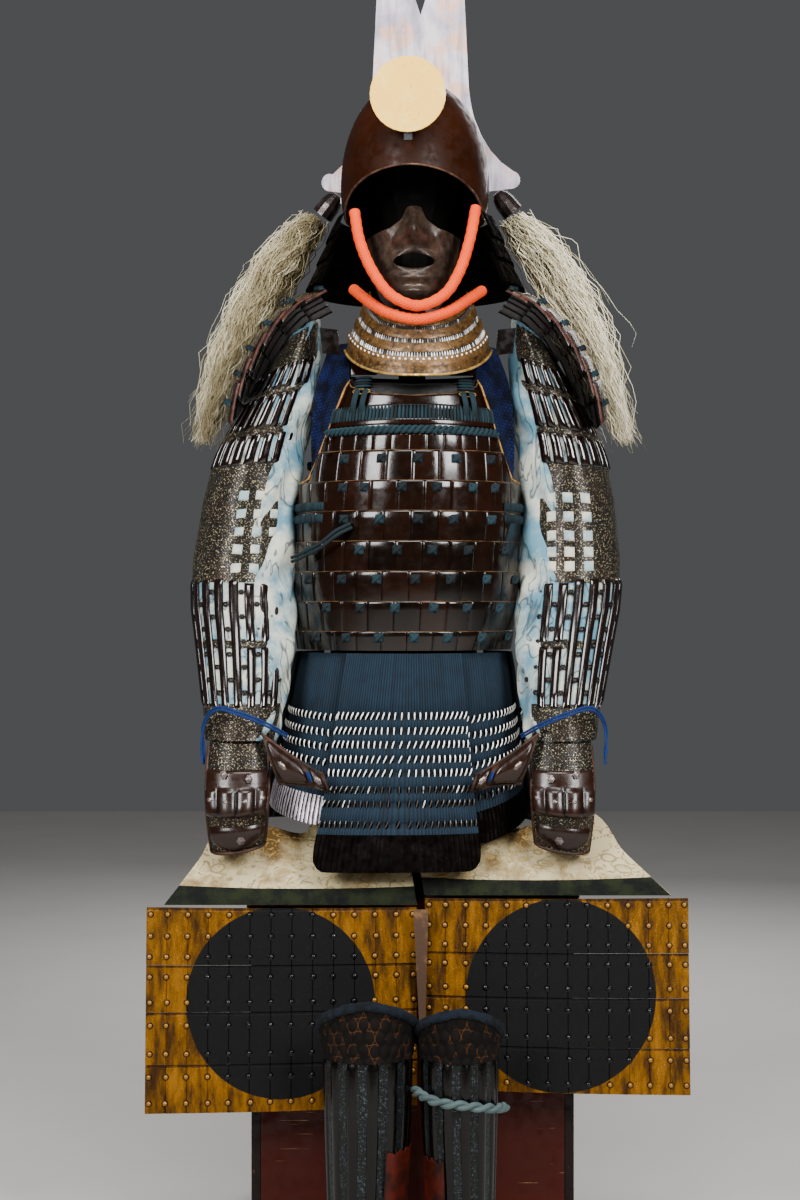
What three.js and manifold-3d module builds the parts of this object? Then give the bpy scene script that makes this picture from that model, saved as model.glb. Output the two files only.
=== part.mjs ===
// A samurai armour seated on its lacquered storage box, carried by a plain wooden stand.
// Millimetres. +Z is up, the front faces -Y and +X is the viewer's right.
import * as THREE from 'three';
import { mergeVertices } from 'three/addons/utils/BufferGeometryUtils.js';
import Module from 'manifold-3d';

const wasm = await Module();
wasm.setup();

// ---------- driving dimensions ----------
const GAP = 0.3;            // clearance between pieces that meet
const IRON = 2;             // wall of lacquered iron and rawhide plates
const CLOTH = 2;            // wall of quilted and lined cloth

const BOX = { width: 457, depth: 380, height: 530, wall: 12, frontY: -150, lid: 70, lidWall: 7 };
const POST = 40;            // square post of the stand
const NECKLINE = 1240;      // lowest point of the cuirass neckline
const LAME = 43.5;          // height of one cuirass lame
const FIRST_LAME = 1161;    // upper edge of the highest full lame
const LAME_STEP = 1.6;      // each lower lame stands this far outside the one above
const SKIRT_TOP = 868;      // upper end of the skirt lacing
const HELMET = { x: 4.5, y: 0, rim: 1512, half: 111, front: 140, back: 134, top: 1719, turn: -4 };
const NOSE_TOP = 1516;      // bridge of the half mask
const DISC = { radius: 54, thick: 4, z: 1663, y: -163 };

// ---------- section tables (named columns, one row for each section) ----------
const CUIRASS = [
  { z: 865, half: 158, front: 126, back: 116 },
  { z: 960, half: 166, front: 137, back: 122 },
  { z: 1060, half: 167, front: 140, back: 122 },
  { z: 1120, half: 164, front: 138, back: 120 },
  { z: 1200, half: 150, front: 130, back: 118 },
  { z: 1300, half: 128, front: 112, back: 108 },
];
const CHEST_EDGE = [
  { x: 0, z: 1240 },
  { x: 45, z: 1244 },
  { x: 78, z: 1256 },
  { x: 90, z: 1267 },
  { x: 98, z: 1255 },
  { x: 108, z: 1228 },
  { x: 121, z: 1192 },
  { x: 136, z: 1150 },
  { x: 148, z: 1122 },
  { x: 190, z: 1108 },
];
const BACK_EDGE = [
  { x: 0, z: 1285 },
  { x: 80, z: 1288 },
  { x: 96, z: 1276 },
  { x: 118, z: 1205 },
  { x: 146, z: 1126 },
  { x: 190, z: 1108 },
];
const SLEEVE = [
  { z: 1345, out: 172, y: 10, half: 34, deep: 46, tilt: 38 },
  { z: 1300, out: 184, y: 10, half: 44, deep: 56, tilt: 22 },
  { z: 1245, out: 203, y: 8, half: 50, deep: 60, tilt: 12 },
  { z: 1170, out: 229, y: 6, half: 60, deep: 64, tilt: 6 },
  { z: 1095, out: 241, y: 2, half: 64, deep: 66, tilt: 2 },
  { z: 1005, out: 247, y: -6, half: 69, deep: 69, tilt: 0 },
  { z: 946, out: 246, y: -22, half: 70, deep: 68, tilt: 0 },
  { z: 886, out: 238, y: -55, half: 66, deep: 62, tilt: 0 },
  { z: 800, out: 229, y: -108, half: 57, deep: 54, tilt: 0 },
  { z: 746, out: 228, y: -142, half: 49, deep: 45, tilt: 0 },
];
const SKIRTS = [
  { name: 'skirt_front', turn: 0, top: 31, foot: 27, out: 9, inner: 564, outer: 566 },
  { name: 'skirt_front_left', turn: -57, top: 25, foot: 32, out: 0, inner: 624, outer: 648 },
  { name: 'skirt_front_right', turn: 57, top: 25, foot: 32, out: 0, inner: 596, outer: 640 },
  { name: 'skirt_side_left', turn: -106, top: 24, foot: 26, out: 9, inner: 618, outer: 606 },
  { name: 'skirt_side_right', turn: 106, top: 24, foot: 26, out: 9, inner: 612, outer: 606 },
  { name: 'skirt_back_left', turn: -155.5, top: 23, foot: 23, out: 0, inner: 600, outer: 600 },
  { name: 'skirt_back_right', turn: 155.5, top: 23, foot: 23, out: 0, inner: 600, outer: 600 },
];
const LAP_CLOTH = [
  { z: 800, y: -96, outer: 112, sag: 0, rise: 0 },
  { z: 700, y: -104, outer: 138, sag: 0, rise: 0 },
  { z: 645, y: -106, outer: 138, sag: 0, rise: 0 },
  { z: 608, y: -110, outer: 150, sag: 12, rise: 0 },
  { z: 598, y: -122, outer: 256, sag: 8, rise: 34 },
  { z: 566, y: -150, outer: 297, sag: 6, rise: 12 },
  { z: 545, y: -170, outer: 323, sag: 4, rise: 2 },
  { z: 516, y: -184, outer: 350, sag: 0, rise: 0 },
];
const THIGH_SIDES = [
  { side: 'left', sign: -1, inner: 6, width: 380, top: 513, foot: 235, slope: 12 },
  { side: 'right', sign: 1, inner: 17, width: 370, top: 526, foot: 260, slope: 10 },
];
const FACE = [
  { z: 1372, half: 34, deep: 60 },
  { z: 1390, half: 50, deep: 76 },
  { z: 1415, half: 60, deep: 80 },
  { z: 1450, half: 66, deep: 76 },
  { z: 1482, half: 70, deep: 70 },
  { z: 1520, half: 70, deep: 60 },
];
const THROAT = [
  { top: 1352, half: 74, front: 82, fall: 26 },
  { top: 1333, half: 83.5, front: 92, fall: 26 },
  { top: 1313, half: 93, front: 102, fall: 27 },
  { top: 1292, half: 102.5, front: 112, fall: 28 },
];
const NECK = [
  { top: 1517, foot: 1480, head: 116, hem: 134, from: 62 },
  { top: 1486, foot: 1446, head: 127, hem: 148, from: 58 },
  { top: 1452, foot: 1408, head: 141, hem: 164, from: 54 },
];
const VEST = [
  { z: 1118, over: 1, in: 108, out: 148 },
  { z: 1190, over: 1, in: 96, out: 151 },
  { z: 1262, over: 1, in: 92, out: 145 },
  { z: 1306, over: 0.62, in: 93, out: 132 },
  { z: 1328, over: 0, in: 93, out: 124 },
  { z: 1306, over: -0.62, in: 93, out: 126 },
  { z: 1240, over: -1, in: 96, out: 138 },
  { z: 1150, over: -1, in: 100, out: 148 },
];
const SHOULDER_ARC = [
  { x: 140, z: 1404 },
  { x: 184, z: 1386 },
  { x: 222, z: 1350 },
  { x: 250, z: 1306 },
  { x: 270, z: 1262 },
  { x: 284, z: 1213 },
];
const HAIR = [
  { x: 148, y: 62, z: 1528, wide: 14, deep: 12 },
  { x: 178, y: 70, z: 1494, wide: 22, deep: 17 },
  { x: 224, y: 74, z: 1424, wide: 29, deep: 20 },
  { x: 264, y: 76, z: 1344, wide: 29, deep: 20 },
  { x: 298, y: 72, z: 1260, wide: 22, deep: 17 },
  { x: 322, y: 66, z: 1186, wide: 9, deep: 8 },
];
const SHIN = [
  { z: 0, half: 44, front: 44, x: 66 },
  { z: 60, half: 45, front: 46, x: 66 },
  { z: 160, half: 51, front: 54, x: 64 },
  { z: 260, half: 56, front: 60, x: 62 },
  { z: 330, half: 57, front: 60, x: 62 },
  { z: 402, half: 57, front: 56, x: 62 },
];

const RIGHT_SHIN = 0.87;    // the right shin guard is wrapped this much closer

// ---------- small tools ----------
const rad = THREE.MathUtils.degToRad;
const lerp = THREE.MathUtils.lerp;

/** Centre line of the body: the seated armour leans a little, its waist to the viewer's left. */
function lean(z) {
  return -23 + Math.max(z - 565, 0) * 0.0356;
}

/** Value of column `key` at position `t` of a table sorted by column `by`, in straight runs. */
function between(table, by, key, t) {
  const rising = table[table.length - 1][by] > table[0][by];
  const rows = rising ? table : [...table].reverse();
  let i = 1;
  while (i < rows.length - 1 && rows[i][by] < t) i += 1;
  const [a, b] = [rows[i - 1], rows[i]];
  const f = THREE.MathUtils.clamp((t - a[by]) / (b[by] - a[by]), 0, 1);
  return lerp(a[key], b[key], f);
}

/** Value of column `key` at fraction `f` of the table's rows, smooth through every row. */
function along(table, key, f) {
  const s = f * (table.length - 1);
  const i = Math.min(Math.floor(s), table.length - 2);
  const t = s - i;
  const at = (k) => table[THREE.MathUtils.clamp(k, 0, table.length - 1)][key];
  const slope = (k) => (at(k + 1) - at(k - 1)) / 2;
  const h = (t * t * (3 - 2 * t));
  const bend = t * (1 - t) * ((1 - t) * slope(i) - t * slope(i + 1));
  return lerp(at(i), at(i + 1), h) + bend;
}

/** Closed geometry from points and triangles; triangles that collapse at a pole are dropped. */
function solid(points, faces) {
  const flat = new Float32Array(points.flatMap((p) => [p.x, p.y, p.z]));
  let geometry = new THREE.BufferGeometry();
  geometry.setAttribute('position', new THREE.BufferAttribute(flat, 3));
  geometry.setIndex(faces.flat());
  geometry = mergeVertices(geometry, 1e-3);
  const index = geometry.index.array;
  const kept = [];
  for (let k = 0; k < index.length; k += 3) {
    const [a, b, c] = [index[k], index[k + 1], index[k + 2]];
    if (a !== b && b !== c && c !== a) kept.push(a, b, c);
  }
  geometry.setIndex(kept);
  if (volume(geometry) < 0) {
    for (let k = 0; k < kept.length; k += 3) [kept[k + 1], kept[k + 2]] = [kept[k + 2], kept[k + 1]];
    geometry.setIndex(kept);
  }
  return geometry;
}

/** Signed volume of a closed geometry. */
function volume(geometry) {
  const position = geometry.attributes.position;
  const index = geometry.index.array;
  const corner = (k) => new THREE.Vector3().fromBufferAttribute(position, index[k]);
  let sum = 0;
  for (let k = 0; k < index.length; k += 3) sum += corner(k).dot(corner(k + 1).cross(corner(k + 2)));
  return sum / 6;
}

/** Unit normal of the surface at(u, v), from small steps kept inside 0 to 1. */
function normalOf(at, u, v, ring) {
  const e = 1e-3;
  const [u0, u1] = ring ? [u - e, u + e] : [Math.max(u - e, 0), Math.min(u + e, 1)];
  const [v0, v1] = [Math.max(v - e, 0), Math.min(v + e, 1)];
  const alongU = at(u1, v).sub(at(u0, v));
  const alongV = at(u, v1).sub(at(u, v0));
  return alongU.cross(alongV).normalize();
}

/**
 * A wall of even thickness on the surface at(u, v). `across` and `up` are the numbers of cells, or
 * `up` is a list of v values. The wall grows to the back of the surface's normal; a negative
 * thickness grows to the front. A ring joins u = 1 to u = 0.
 */
function wall(at, across, up, thickness, ring = false) {
  const vs = Array.isArray(up) ? up : Array.from({ length: up + 1 }, (_, j) => j / up);
  const columns = ring ? across : across + 1;
  const rows = vs.length;
  const outer = [];
  const inner = [];
  for (const v of vs) {
    for (let i = 0; i < columns; i += 1) {
      const u = i / across;
      const p = at(u, v);
      outer.push(p);
      inner.push(p.clone().addScaledVector(normalOf(at, u, v, ring), -thickness));
    }
  }
  const count = outer.length;
  const faces = [];
  const quad = (a, b, c, d) => faces.push([a, b, c], [a, c, d]);
  const id = (i, j) => j * columns + (i % columns);
  const steps = ring ? columns : columns - 1;
  for (let j = 0; j < rows - 1; j += 1) {
    for (let i = 0; i < steps; i += 1) {
      const [a, b, c, d] = [id(i, j), id(i + 1, j), id(i + 1, j + 1), id(i, j + 1)];
      quad(a, b, c, d);
      quad(a + count, d + count, c + count, b + count);
    }
  }
  for (let i = 0; i < steps; i += 1) {
    quad(id(i, 0), id(i, 0) + count, id(i + 1, 0) + count, id(i + 1, 0));
    const [a, b] = [id(i, rows - 1), id(i + 1, rows - 1)];
    quad(a, b, b + count, a + count);
  }
  if (!ring) {
    for (let j = 0; j < rows - 1; j += 1) {
      quad(id(0, j), id(0, j + 1), id(0, j + 1) + count, id(0, j) + count);
      const [a, b] = [id(columns - 1, j), id(columns - 1, j + 1)];
      quad(a, a + count, b + count, b);
    }
  }
  return solid([...outer, ...inner], faces);
}

/** A cord of round section along hand-placed points. */
function cord(points, diameter, steps, sides = 8) {
  const section = new THREE.Shape();
  for (let k = 0; k < sides; k += 1) {
    const a = (k / sides) * 2 * Math.PI;
    const [x, y] = [Math.cos(a) * diameter / 2, Math.sin(a) * diameter / 2];
    if (k === 0) section.moveTo(x, y);
    else section.lineTo(x, y);
  }
  section.closePath();
  const path = new THREE.CatmullRomCurve3(points.map((p) => new THREE.Vector3(...p)), false, 'centripetal');
  return new THREE.ExtrudeGeometry(section, { steps, extrudePath: path, bevelEnabled: false });
}

/** A flat plate: outline in X and Z, `thickness` deep, its front face at y = 0. */
function plate(shape, thickness, curveSegments = 6) {
  const settings = { depth: thickness, bevelEnabled: false, curveSegments };
  const geometry = new THREE.ExtrudeGeometry(shape, settings);
  geometry.rotateX(Math.PI / 2);
  geometry.translate(0, thickness, 0);
  return geometry;
}

/** Manifold of a closed geometry. */
function toManifold(geometry) {
  const bare = geometry.clone();
  bare.deleteAttribute('normal');
  bare.deleteAttribute('uv');
  const merged = mergeVertices(bare, 1e-4);
  return new wasm.Manifold(new wasm.Mesh({
    numProp: 3,
    vertProperties: new Float32Array(merged.attributes.position.array),
    triVerts: new Uint32Array(merged.index.array),
  }));
}

/** Geometry of a manifold. */
function fromManifold(manifold) {
  const mesh = manifold.getMesh();
  const geometry = new THREE.BufferGeometry();
  geometry.setAttribute('position', new THREE.BufferAttribute(new Float32Array(mesh.vertProperties), 3));
  geometry.setIndex(new THREE.BufferAttribute(new Uint32Array(mesh.triVerts), 1));
  return geometry;
}

/** `body` without each geometry of `cutters`. */
function cut(body, ...cutters) {
  let result = toManifold(body);
  for (const cutter of cutters) result = result.subtract(toManifold(cutter));
  return fromManifold(result);
}

/** The part of `body` that lies inside `keeper`. */
function keep(body, keeper) {
  return fromManifold(toManifold(body).intersect(toManifold(keeper)));
}

/** A straight-sided outline from [x, y] pairs. */
function outline(pairs) {
  return new THREE.Shape(pairs.map(([x, y]) => new THREE.Vector2(x, y)));
}

/** A closed block between two corners. */
function block(low, high) {
  const size = high.map((h, i) => h - low[i]);
  const geometry = new THREE.BoxGeometry(...size);
  geometry.translate(...low.map((l, i) => l + size[i] / 2));
  return geometry;
}

// ---------- materials ----------
function paint(color, roughness, metalness = 0) {
  return new THREE.MeshStandardMaterial({ color, roughness, metalness, side: THREE.FrontSide });
}
const MATERIAL = {
  brownLacquer: paint(0x2e1710, 0.3),
  darkIron: paint(0x2c2422, 0.45, 0.6),
  goldLeaf: paint(0xb98932, 0.4, 0.7),
  paleGold: paint(0xe0bf70, 0.4, 0.6),
  silverLeaf: paint(0xb9aeb4, 0.5, 0.3),
  hair: paint(0xb8ad8c, 0.8),
  orangeCord: paint(0xe8572a, 0.8),
  tealLace: paint(0x1f3e47, 0.9),
  blueLace: paint(0x1c3346, 0.9),
  navyCloth: paint(0x17204a, 0.95),
  paleCloth: paint(0x9fb4bd, 0.9),
  brocade: paint(0xb9a67c, 0.85),
  quiltedCloth: paint(0x2a1f1b, 0.95),
  greenRope: paint(0x465450, 0.9),
  redLacquer: paint(0x4d180e, 0.45),
  plainWood: paint(0x8a6a48, 0.7),
};

const armour = new THREE.Group();

/** Adds one named sub-part to `parent`. */
function add(name, geometry, material, parent = armour) {
  const mesh = new THREE.Mesh(geometry, material);
  mesh.name = name;
  parent.add(mesh);
  return mesh;
}

// ---------- storage box and stand ----------
function buildBox() {
  const { width, depth, height, wall: board, frontY, lid, lidWall } = BOX;
  const half = width / 2;
  const backY = frontY + depth;
  const rimZ = height - lidWall - GAP;
  const body = block([-half, frontY, 0], [half, backY, rimZ]);
  const hollow = block([-half + board, frontY + board, board], [half - board, backY - board, rimZ + 5]);
  add('box_body', cut(body, hollow), MATERIAL.redLacquer);
  const over = lidWall + GAP;
  const cap = block([-half - over, frontY - over, height - lid], [half + over, backY + over, height]);
  const inside = block([-half - GAP, frontY - GAP, height - lid - 5], [half + GAP, backY + GAP, rimZ + GAP]);
  add('box_lid', cut(cap, inside), MATERIAL.redLacquer);
}

function buildStand() {
  const half = POST / 2;
  const y = 20;
  const post = block([-half, y - half, BOX.height + GAP], [half, y + half, 1420]);
  const waistBar = block([-96, y - 14, 806], [96, y + 14, 834]);
  const shoulderBar = block([-88, y - 14, 1296], [88, y + 14, 1324]);
  const whole = toManifold(post).add(toManifold(waistBar)).add(toManifold(shoulderBar));
  add('stand_post', fromManifold(whole), MATERIAL.plainWood);
  const profile = [[0, 1420 + GAP], [38, 1420 + GAP], [38, 1490], [62, 1540], [70, 1590], [58, 1640], [0, 1665]];
  const head = new THREE.LatheGeometry(profile.map(([r, z]) => new THREE.Vector2(r, z)), 12);
  head.rotateX(Math.PI / 2);
  head.translate(HELMET.x, 30, 0);
  add('stand_head', head, MATERIAL.plainWood);
}

// ---------- helmet ----------
const helmet = new THREE.Group();
helmet.position.set(HELMET.x, HELMET.y, 0);
helmet.rotation.z = rad(HELMET.turn);
armour.add(helmet);

/** The bowl's closed egg: a sphere stretched to its half width, front and back, higher than its rim. */
function bowlForm(inset) {
  const geometry = new THREE.SphereGeometry(1, 24, 13);
  geometry.rotateX(Math.PI / 2);
  const position = geometry.attributes.position;
  const p = new THREE.Vector3();
  const belly = 1560;
  for (let i = 0; i < position.count; i += 1) {
    p.fromBufferAttribute(position, i);
    const around = Math.hypot(p.x, p.y);
    const full = around > 1e-6 ? Math.pow(around, 0.86) / around : 1;
    const depth = (p.y < 0 ? HELMET.front : HELMET.back) - inset;
    const rise = p.z > 0 ? HELMET.top - belly - inset : 130;
    position.setXYZ(i, p.x * full * (HELMET.half - inset), p.y * full * depth, belly + p.z * rise);
  }
  return geometry;
}

function buildBowl() {
  const shell = cut(bowlForm(0), bowlForm(2.5));
  const arch = new THREE.Shape();
  arch.moveTo(-200, 1380);
  arch.lineTo(200, 1380);
  arch.lineTo(200, HELMET.rim);
  arch.lineTo(103, HELMET.rim);
  arch.absellipse(0, HELMET.rim, 103, 56, 0, Math.PI, false, 0);
  arch.lineTo(-200, HELMET.rim);
  const front = plate(arch, 200, 10);
  front.translate(0, -200, 0);
  const under = block([-200, -5, 1380], [200, 200, HELMET.rim]);
  add('helmet_bowl', cut(shell, front, under), MATERIAL.brownLacquer, helmet);
}

function buildCrest() {
  const disc = new THREE.CylinderGeometry(DISC.radius, DISC.radius, DISC.thick, 32);
  const mesh = add('crest_disc', disc, MATERIAL.paleGold, helmet);
  mesh.position.set(0, DISC.y, DISC.z);
  const post = block([-6, -DISC.thick, -36], [6, 0, 32]);
  const prong = add('crest_post', post, MATERIAL.darkIron, helmet);
  prong.position.set(0, DISC.y + DISC.thick * 1.5 + GAP + 2, DISC.z - 28);
}

/** The tall tablet behind the bowl: a waisted board, two ears at its foot, a slit between two tips. */
function buildRearPlate() {
  const shape = new THREE.Shape();
  const right = (x) => x;
  const left = (x) => -x;
  shape.moveTo(left(60), 1585);
  shape.lineTo(right(60), 1585);
  shape.quadraticCurveTo(right(105), 1582, right(140), 1588);
  shape.absarc(right(142), 1602, 14, -Math.PI / 2, Math.PI * 0.42, false);
  shape.quadraticCurveTo(right(104), 1640, right(84), 1700);
  shape.quadraticCurveTo(right(76), 1730, right(75), 1760);
  shape.lineTo(right(66), 1950);
  shape.quadraticCurveTo(right(64), 1985, right(47), 1992);
  shape.quadraticCurveTo(right(34), 1990, right(27), 1965);
  shape.quadraticCurveTo(right(18), 1915, 0, 1862);
  shape.quadraticCurveTo(left(18), 1915, left(27), 1965);
  shape.quadraticCurveTo(left(34), 1990, left(47), 1992);
  shape.quadraticCurveTo(left(64), 1985, left(66), 1950);
  shape.lineTo(left(75), 1760);
  shape.quadraticCurveTo(left(76), 1730, left(84), 1700);
  shape.quadraticCurveTo(left(104), 1640, left(138), 1615);
  shape.absarc(left(142), 1602, 14, Math.PI * 0.58, Math.PI * 1.5, false);
  shape.quadraticCurveTo(left(105), 1582, left(60), 1585);
  const mesh = add('rear_plate', plate(shape, 4, 4), MATERIAL.silverLeaf, helmet);
  mesh.position.y = HELMET.back + 3;
}

function buildHairSocket(side, sign) {
  const profile = [[0, 0], [7, 2], [13, 9], [16, 20], [17, 40], [15, 40], [14, 22], [11, 12], [0, 8]];
  const socket = new THREE.LatheGeometry(profile.map(([r, z]) => new THREE.Vector2(r, z)), 12);
  const mesh = add(`hair_socket_${side}`, socket, MATERIAL.darkIron, helmet);
  mesh.position.set(sign * 121, 52, 1566);
  const aim = new THREE.Vector3(sign * 0.62, 0.18, -0.76).normalize();
  mesh.quaternion.setFromUnitVectors(new THREE.Vector3(0, 1, 0), aim);
}

/** A tapering flat lock of hair: an elliptical ring carried along the table, closed at both ends. */
function buildHair(side, sign) {
  const rings = 9;
  const sides = 8;
  const points = [];
  const faces = [];
  for (let j = 0; j <= rings; j += 1) {
    const f = j / rings;
    const [wide, deep] = [along(HAIR, 'wide', f), along(HAIR, 'deep', f)];
    for (let i = 0; i < sides; i += 1) {
      const a = (i / sides) * 2 * Math.PI;
      const x = along(HAIR, 'x', f) + wide * Math.cos(a) * 0.85;
      const z = along(HAIR, 'z', f) + wide * Math.cos(a) * 0.5;
      points.push(new THREE.Vector3(sign * x + (sign + 1) * 3, along(HAIR, 'y', f) + deep * Math.sin(a), z));
    }
  }
  const id = (i, j) => j * sides + (i % sides);
  for (let j = 0; j < rings; j += 1) {
    for (let i = 0; i < sides; i += 1) {
      faces.push([id(i, j), id(i + 1, j), id(i + 1, j + 1)], [id(i, j), id(i + 1, j + 1), id(i, j + 1)]);
    }
  }
  for (let i = 1; i < sides - 1; i += 1) {
    faces.push([id(0, 0), id(i + 1, 0), id(i, 0)], [id(0, rings), id(i, rings), id(i + 1, rings)]);
  }
  add(`hair_tuft_${side}`, solid(points, faces), MATERIAL.hair);
}

/** One lame of the neck guard: a flaring band round the back, open in front of the ears. */
function buildNeckLame(row, number) {
  const at = (u, v) => {
    const a = rad(lerp(row.from, 360 - row.from, u));
    const reach = lerp(row.head, row.hem, v);
    const y = -Math.cos(a) * reach * 1.08 + 8;
    return new THREE.Vector3(Math.sin(a) * reach, y, lerp(row.top, row.foot, v));
  };
  add(`neck_lame_${number}`, wall(at, 18, 1, IRON), MATERIAL.darkIron, helmet);
}

// ---------- half mask, throat guard and chin cord ----------
const MASK_Y = -52;
const MASK_X = 2;

/** Surface of the half mask: a round jaw with a long nose, a lip roll and a jutting chin. */
function maskPoint(u, v) {
  const a = rad(lerp(-98, 98, u));
  const z = lerp(1372, NOSE_TOP, v);
  const x = between(FACE, 'z', 'half', z) * Math.sin(a);
  let y = -between(FACE, 'z', 'deep', z) * Math.cos(a);
  const bump = (cx, cz, wide, high, out) => out * Math.exp(-(((x - cx) / wide) ** 2) - (((z - cz) / high) ** 2));
  if (Math.cos(a) > 0) {
    y -= bump(0, 1472, 15, 17, 34) + bump(0, 1498, 9, 20, 17);
    y -= bump(19, 1462, 11, 9, 9) + bump(-19, 1462, 11, 9, 9);
    y -= bump(0, 1386, 24, 9, 12) + bump(0, 1408, 34, 7, 8);
    y -= bump(42, 1478, 16, 14, 8) + bump(-42, 1478, 16, 14, 8);
  }
  return new THREE.Vector3(MASK_X + x, MASK_Y + y, z);
}

function buildMask() {
  const shell = wall(maskPoint, 16, 11, -IRON);
  const mouth = new THREE.Shape();
  mouth.absellipse(MASK_X, 1432, 30, 11, 0, 2 * Math.PI, false, 0);
  const mouthCut = plate(mouth, 120, 6);
  mouthCut.translate(0, -220, 0);
  const edge = outline([[-90, 1600], [-90, 1470], [-58, 1474], [-30, 1480], [-14, 1494], [-7, 1512],
    [11, 1512], [18, 1494], [34, 1480], [62, 1474], [94, 1470], [94, 1600]]);
  const edgeCut = plate(edge, 300);
  edgeCut.translate(0, -250, 0);
  add('mask', cut(shell, mouthCut, edgeCut), MATERIAL.darkIron);
}

/** One lame of the throat guard: a crescent hung from the jaw, low in front and high at its ends. */
function buildThroatLame(row, number) {
  const at = (u, v) => {
    const a = rad(lerp(-78, 78, u));
    const rise = 62 * (1 - Math.cos(a)) ** 1.2;
    const reach = lerp(0, 7, v);
    const x = 9 + (row.half + reach) * Math.sin(a);
    const y = -38 - (row.front + reach) * Math.cos(a);
    return new THREE.Vector3(x, y, row.top + rise - row.fall * v);
  };
  add(`throat_lame_${number}`, wall(at, 14, 1, -IRON), MATERIAL.paleGold);
}

function buildChinCord() {
  const cheeks = [[-84, -100, 1508], [-76, -124, 1462], [-56, -146, 1412], [-28, -160, 1376], [8, -166, 1362],
    [44, -160, 1378], [66, -146, 1412], [82, -124, 1462], [92, -100, 1514]];
  add('chin_cord_cheek', cord(cheeks, 16, 16), MATERIAL.orangeCord);
  const jaw = [[-86, -84, 1398], [-62, -122, 1374], [-34, -148, 1354], [8, -158, 1344], [50, -148, 1356],
    [78, -122, 1376], [102, -84, 1396]];
  add('chin_cord_jaw', cord(jaw, 16, 13), MATERIAL.orangeCord);
}

// ---------- cuirass ----------
/** Point of the trunk at angle `a` from the front and height z, `out` outside the sections. */
function trunk(a, z, out) {
  const front = Math.cos(a) > 0;
  const depth = between(CUIRASS, 'z', front ? 'front' : 'back', z) + out;
  const x = lean(z) + (between(CUIRASS, 'z', 'half', z) + out) * Math.sin(a);
  return new THREE.Vector3(x, -depth * Math.cos(a), z);
}

/** Heights of the cuirass rows, two at each lame edge, from the waist to the shoulders. */
function lameRows(foot, top) {
  const rows = [{ z: foot, out: 0 }];
  for (let k = 6; k >= 0; k -= 1) {
    const z = FIRST_LAME - LAME * k;
    rows.push({ z: z - 0.5, out: LAME_STEP }, { z: z + 0.5, out: 0 });
  }
  rows.push({ z: top, out: 0 });
  return rows;
}

/** Keeps what lies under an edge table, mirrored about the centre line of the chest. */
function underEdge(table, foot) {
  const x0 = lean(NECKLINE);
  const pairs = table.map((row) => [x0 + row.x, row.z]);
  const mirrored = table.slice(1).reverse().map((row) => [x0 - row.x, row.z]);
  const shape = outline([[x0 - 190, foot], [x0 + 190, foot], ...pairs.slice(1).reverse(), pairs[0],
    ...mirrored.reverse()]);
  const keeper = plate(shape, 400);
  keeper.translate(0, -200, 0);
  return keeper;
}

function buildCuirass() {
  const rows = lameRows(872, 1292);
  const shell = (from, to, across, out) => {
    const at = (u, v) => {
      const row = rows[Math.round(v * (rows.length - 1))];
      return trunk(rad(lerp(from, to, u)), row.z, row.out + out);
    };
    const smooth = (u, v) => trunk(rad(lerp(from, to, u)), lerp(872, 1292, v), out);
    return steppedWall(at, smooth, rows, across, IRON);
  };
  add('cuirass_front', keep(shell(-88.5, 88.5, 14, 0), underEdge(CHEST_EDGE, 860)), MATERIAL.brownLacquer);
  add('cuirass_back', keep(shell(91.5, 268.5, 10, 0), underEdge(BACK_EDGE, 860)), MATERIAL.brownLacquer);
}

/** A wall whose rows step in and out: its normals come from the smooth surface beneath the steps. */
function steppedWall(at, smooth, rows, across, thickness) {
  const first = rows[0].z;
  const span = rows[rows.length - 1].z - first;
  const points = [];
  const count = rows.length * (across + 1);
  for (const side of [0, 1]) {
    rows.forEach((row, j) => {
      for (let i = 0; i <= across; i += 1) {
        const u = i / across;
        const p = at(u, j / (rows.length - 1));
        if (side) p.addScaledVector(normalOf(smooth, u, (row.z - first) / span, false), -thickness);
        points.push(p);
      }
    });
  }
  const faces = [];
  const quad = (a, b, c, d) => faces.push([a, b, c], [a, c, d]);
  const id = (i, j) => j * (across + 1) + i;
  const last = rows.length - 1;
  for (let j = 0; j < last; j += 1) {
    for (let i = 0; i < across; i += 1) {
      const [a, b, c, d] = [id(i, j), id(i + 1, j), id(i + 1, j + 1), id(i, j + 1)];
      quad(a, b, c, d);
      quad(a + count, d + count, c + count, b + count);
    }
    quad(id(0, j), id(0, j + 1), id(0, j + 1) + count, id(0, j) + count);
    quad(id(across, j), id(across, j) + count, id(across, j + 1) + count, id(across, j + 1));
  }
  for (let i = 0; i < across; i += 1) {
    quad(id(i, 0), id(i, 0) + count, id(i + 1, 0) + count, id(i + 1, 0));
    quad(id(i, last), id(i + 1, last), id(i + 1, last) + count, id(i, last) + count);
  }
  return solid(points, faces);
}

/** A strap over one shoulder, from the back plate to the chest plate. */
function buildShoulderStrap(side, sign) {
  const route = [{ y: -92, z: 1272 }, { y: -74, z: 1302 }, { y: -30, z: 1334 }, { y: 24, z: 1342 },
    { y: 72, z: 1324 }, { y: 96, z: 1294 }];
  const at = (u, v) => {
    const x = lean(NECKLINE) + sign * lerp(54, 90, u);
    return new THREE.Vector3(x, along(route, 'y', v), along(route, 'z', v));
  };
  add(`shoulder_strap_${side}`, wall(at, 2, 10, IRON), MATERIAL.brownLacquer);
}

/** The small plate that stands at the shoulder end of the strap, before the vest. */
function buildShoulderTab(side, sign) {
  const shape = outline([[-15, -20], [11, -17], [15, 20], [-11, 17]].map(([x, z]) => [x * sign, z]));
  const mesh = add(`shoulder_tab_${side}`, plate(shape, 2.5), MATERIAL.brownLacquer);
  mesh.position.set(8 + sign * 128, -84, 1322);
}

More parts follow.
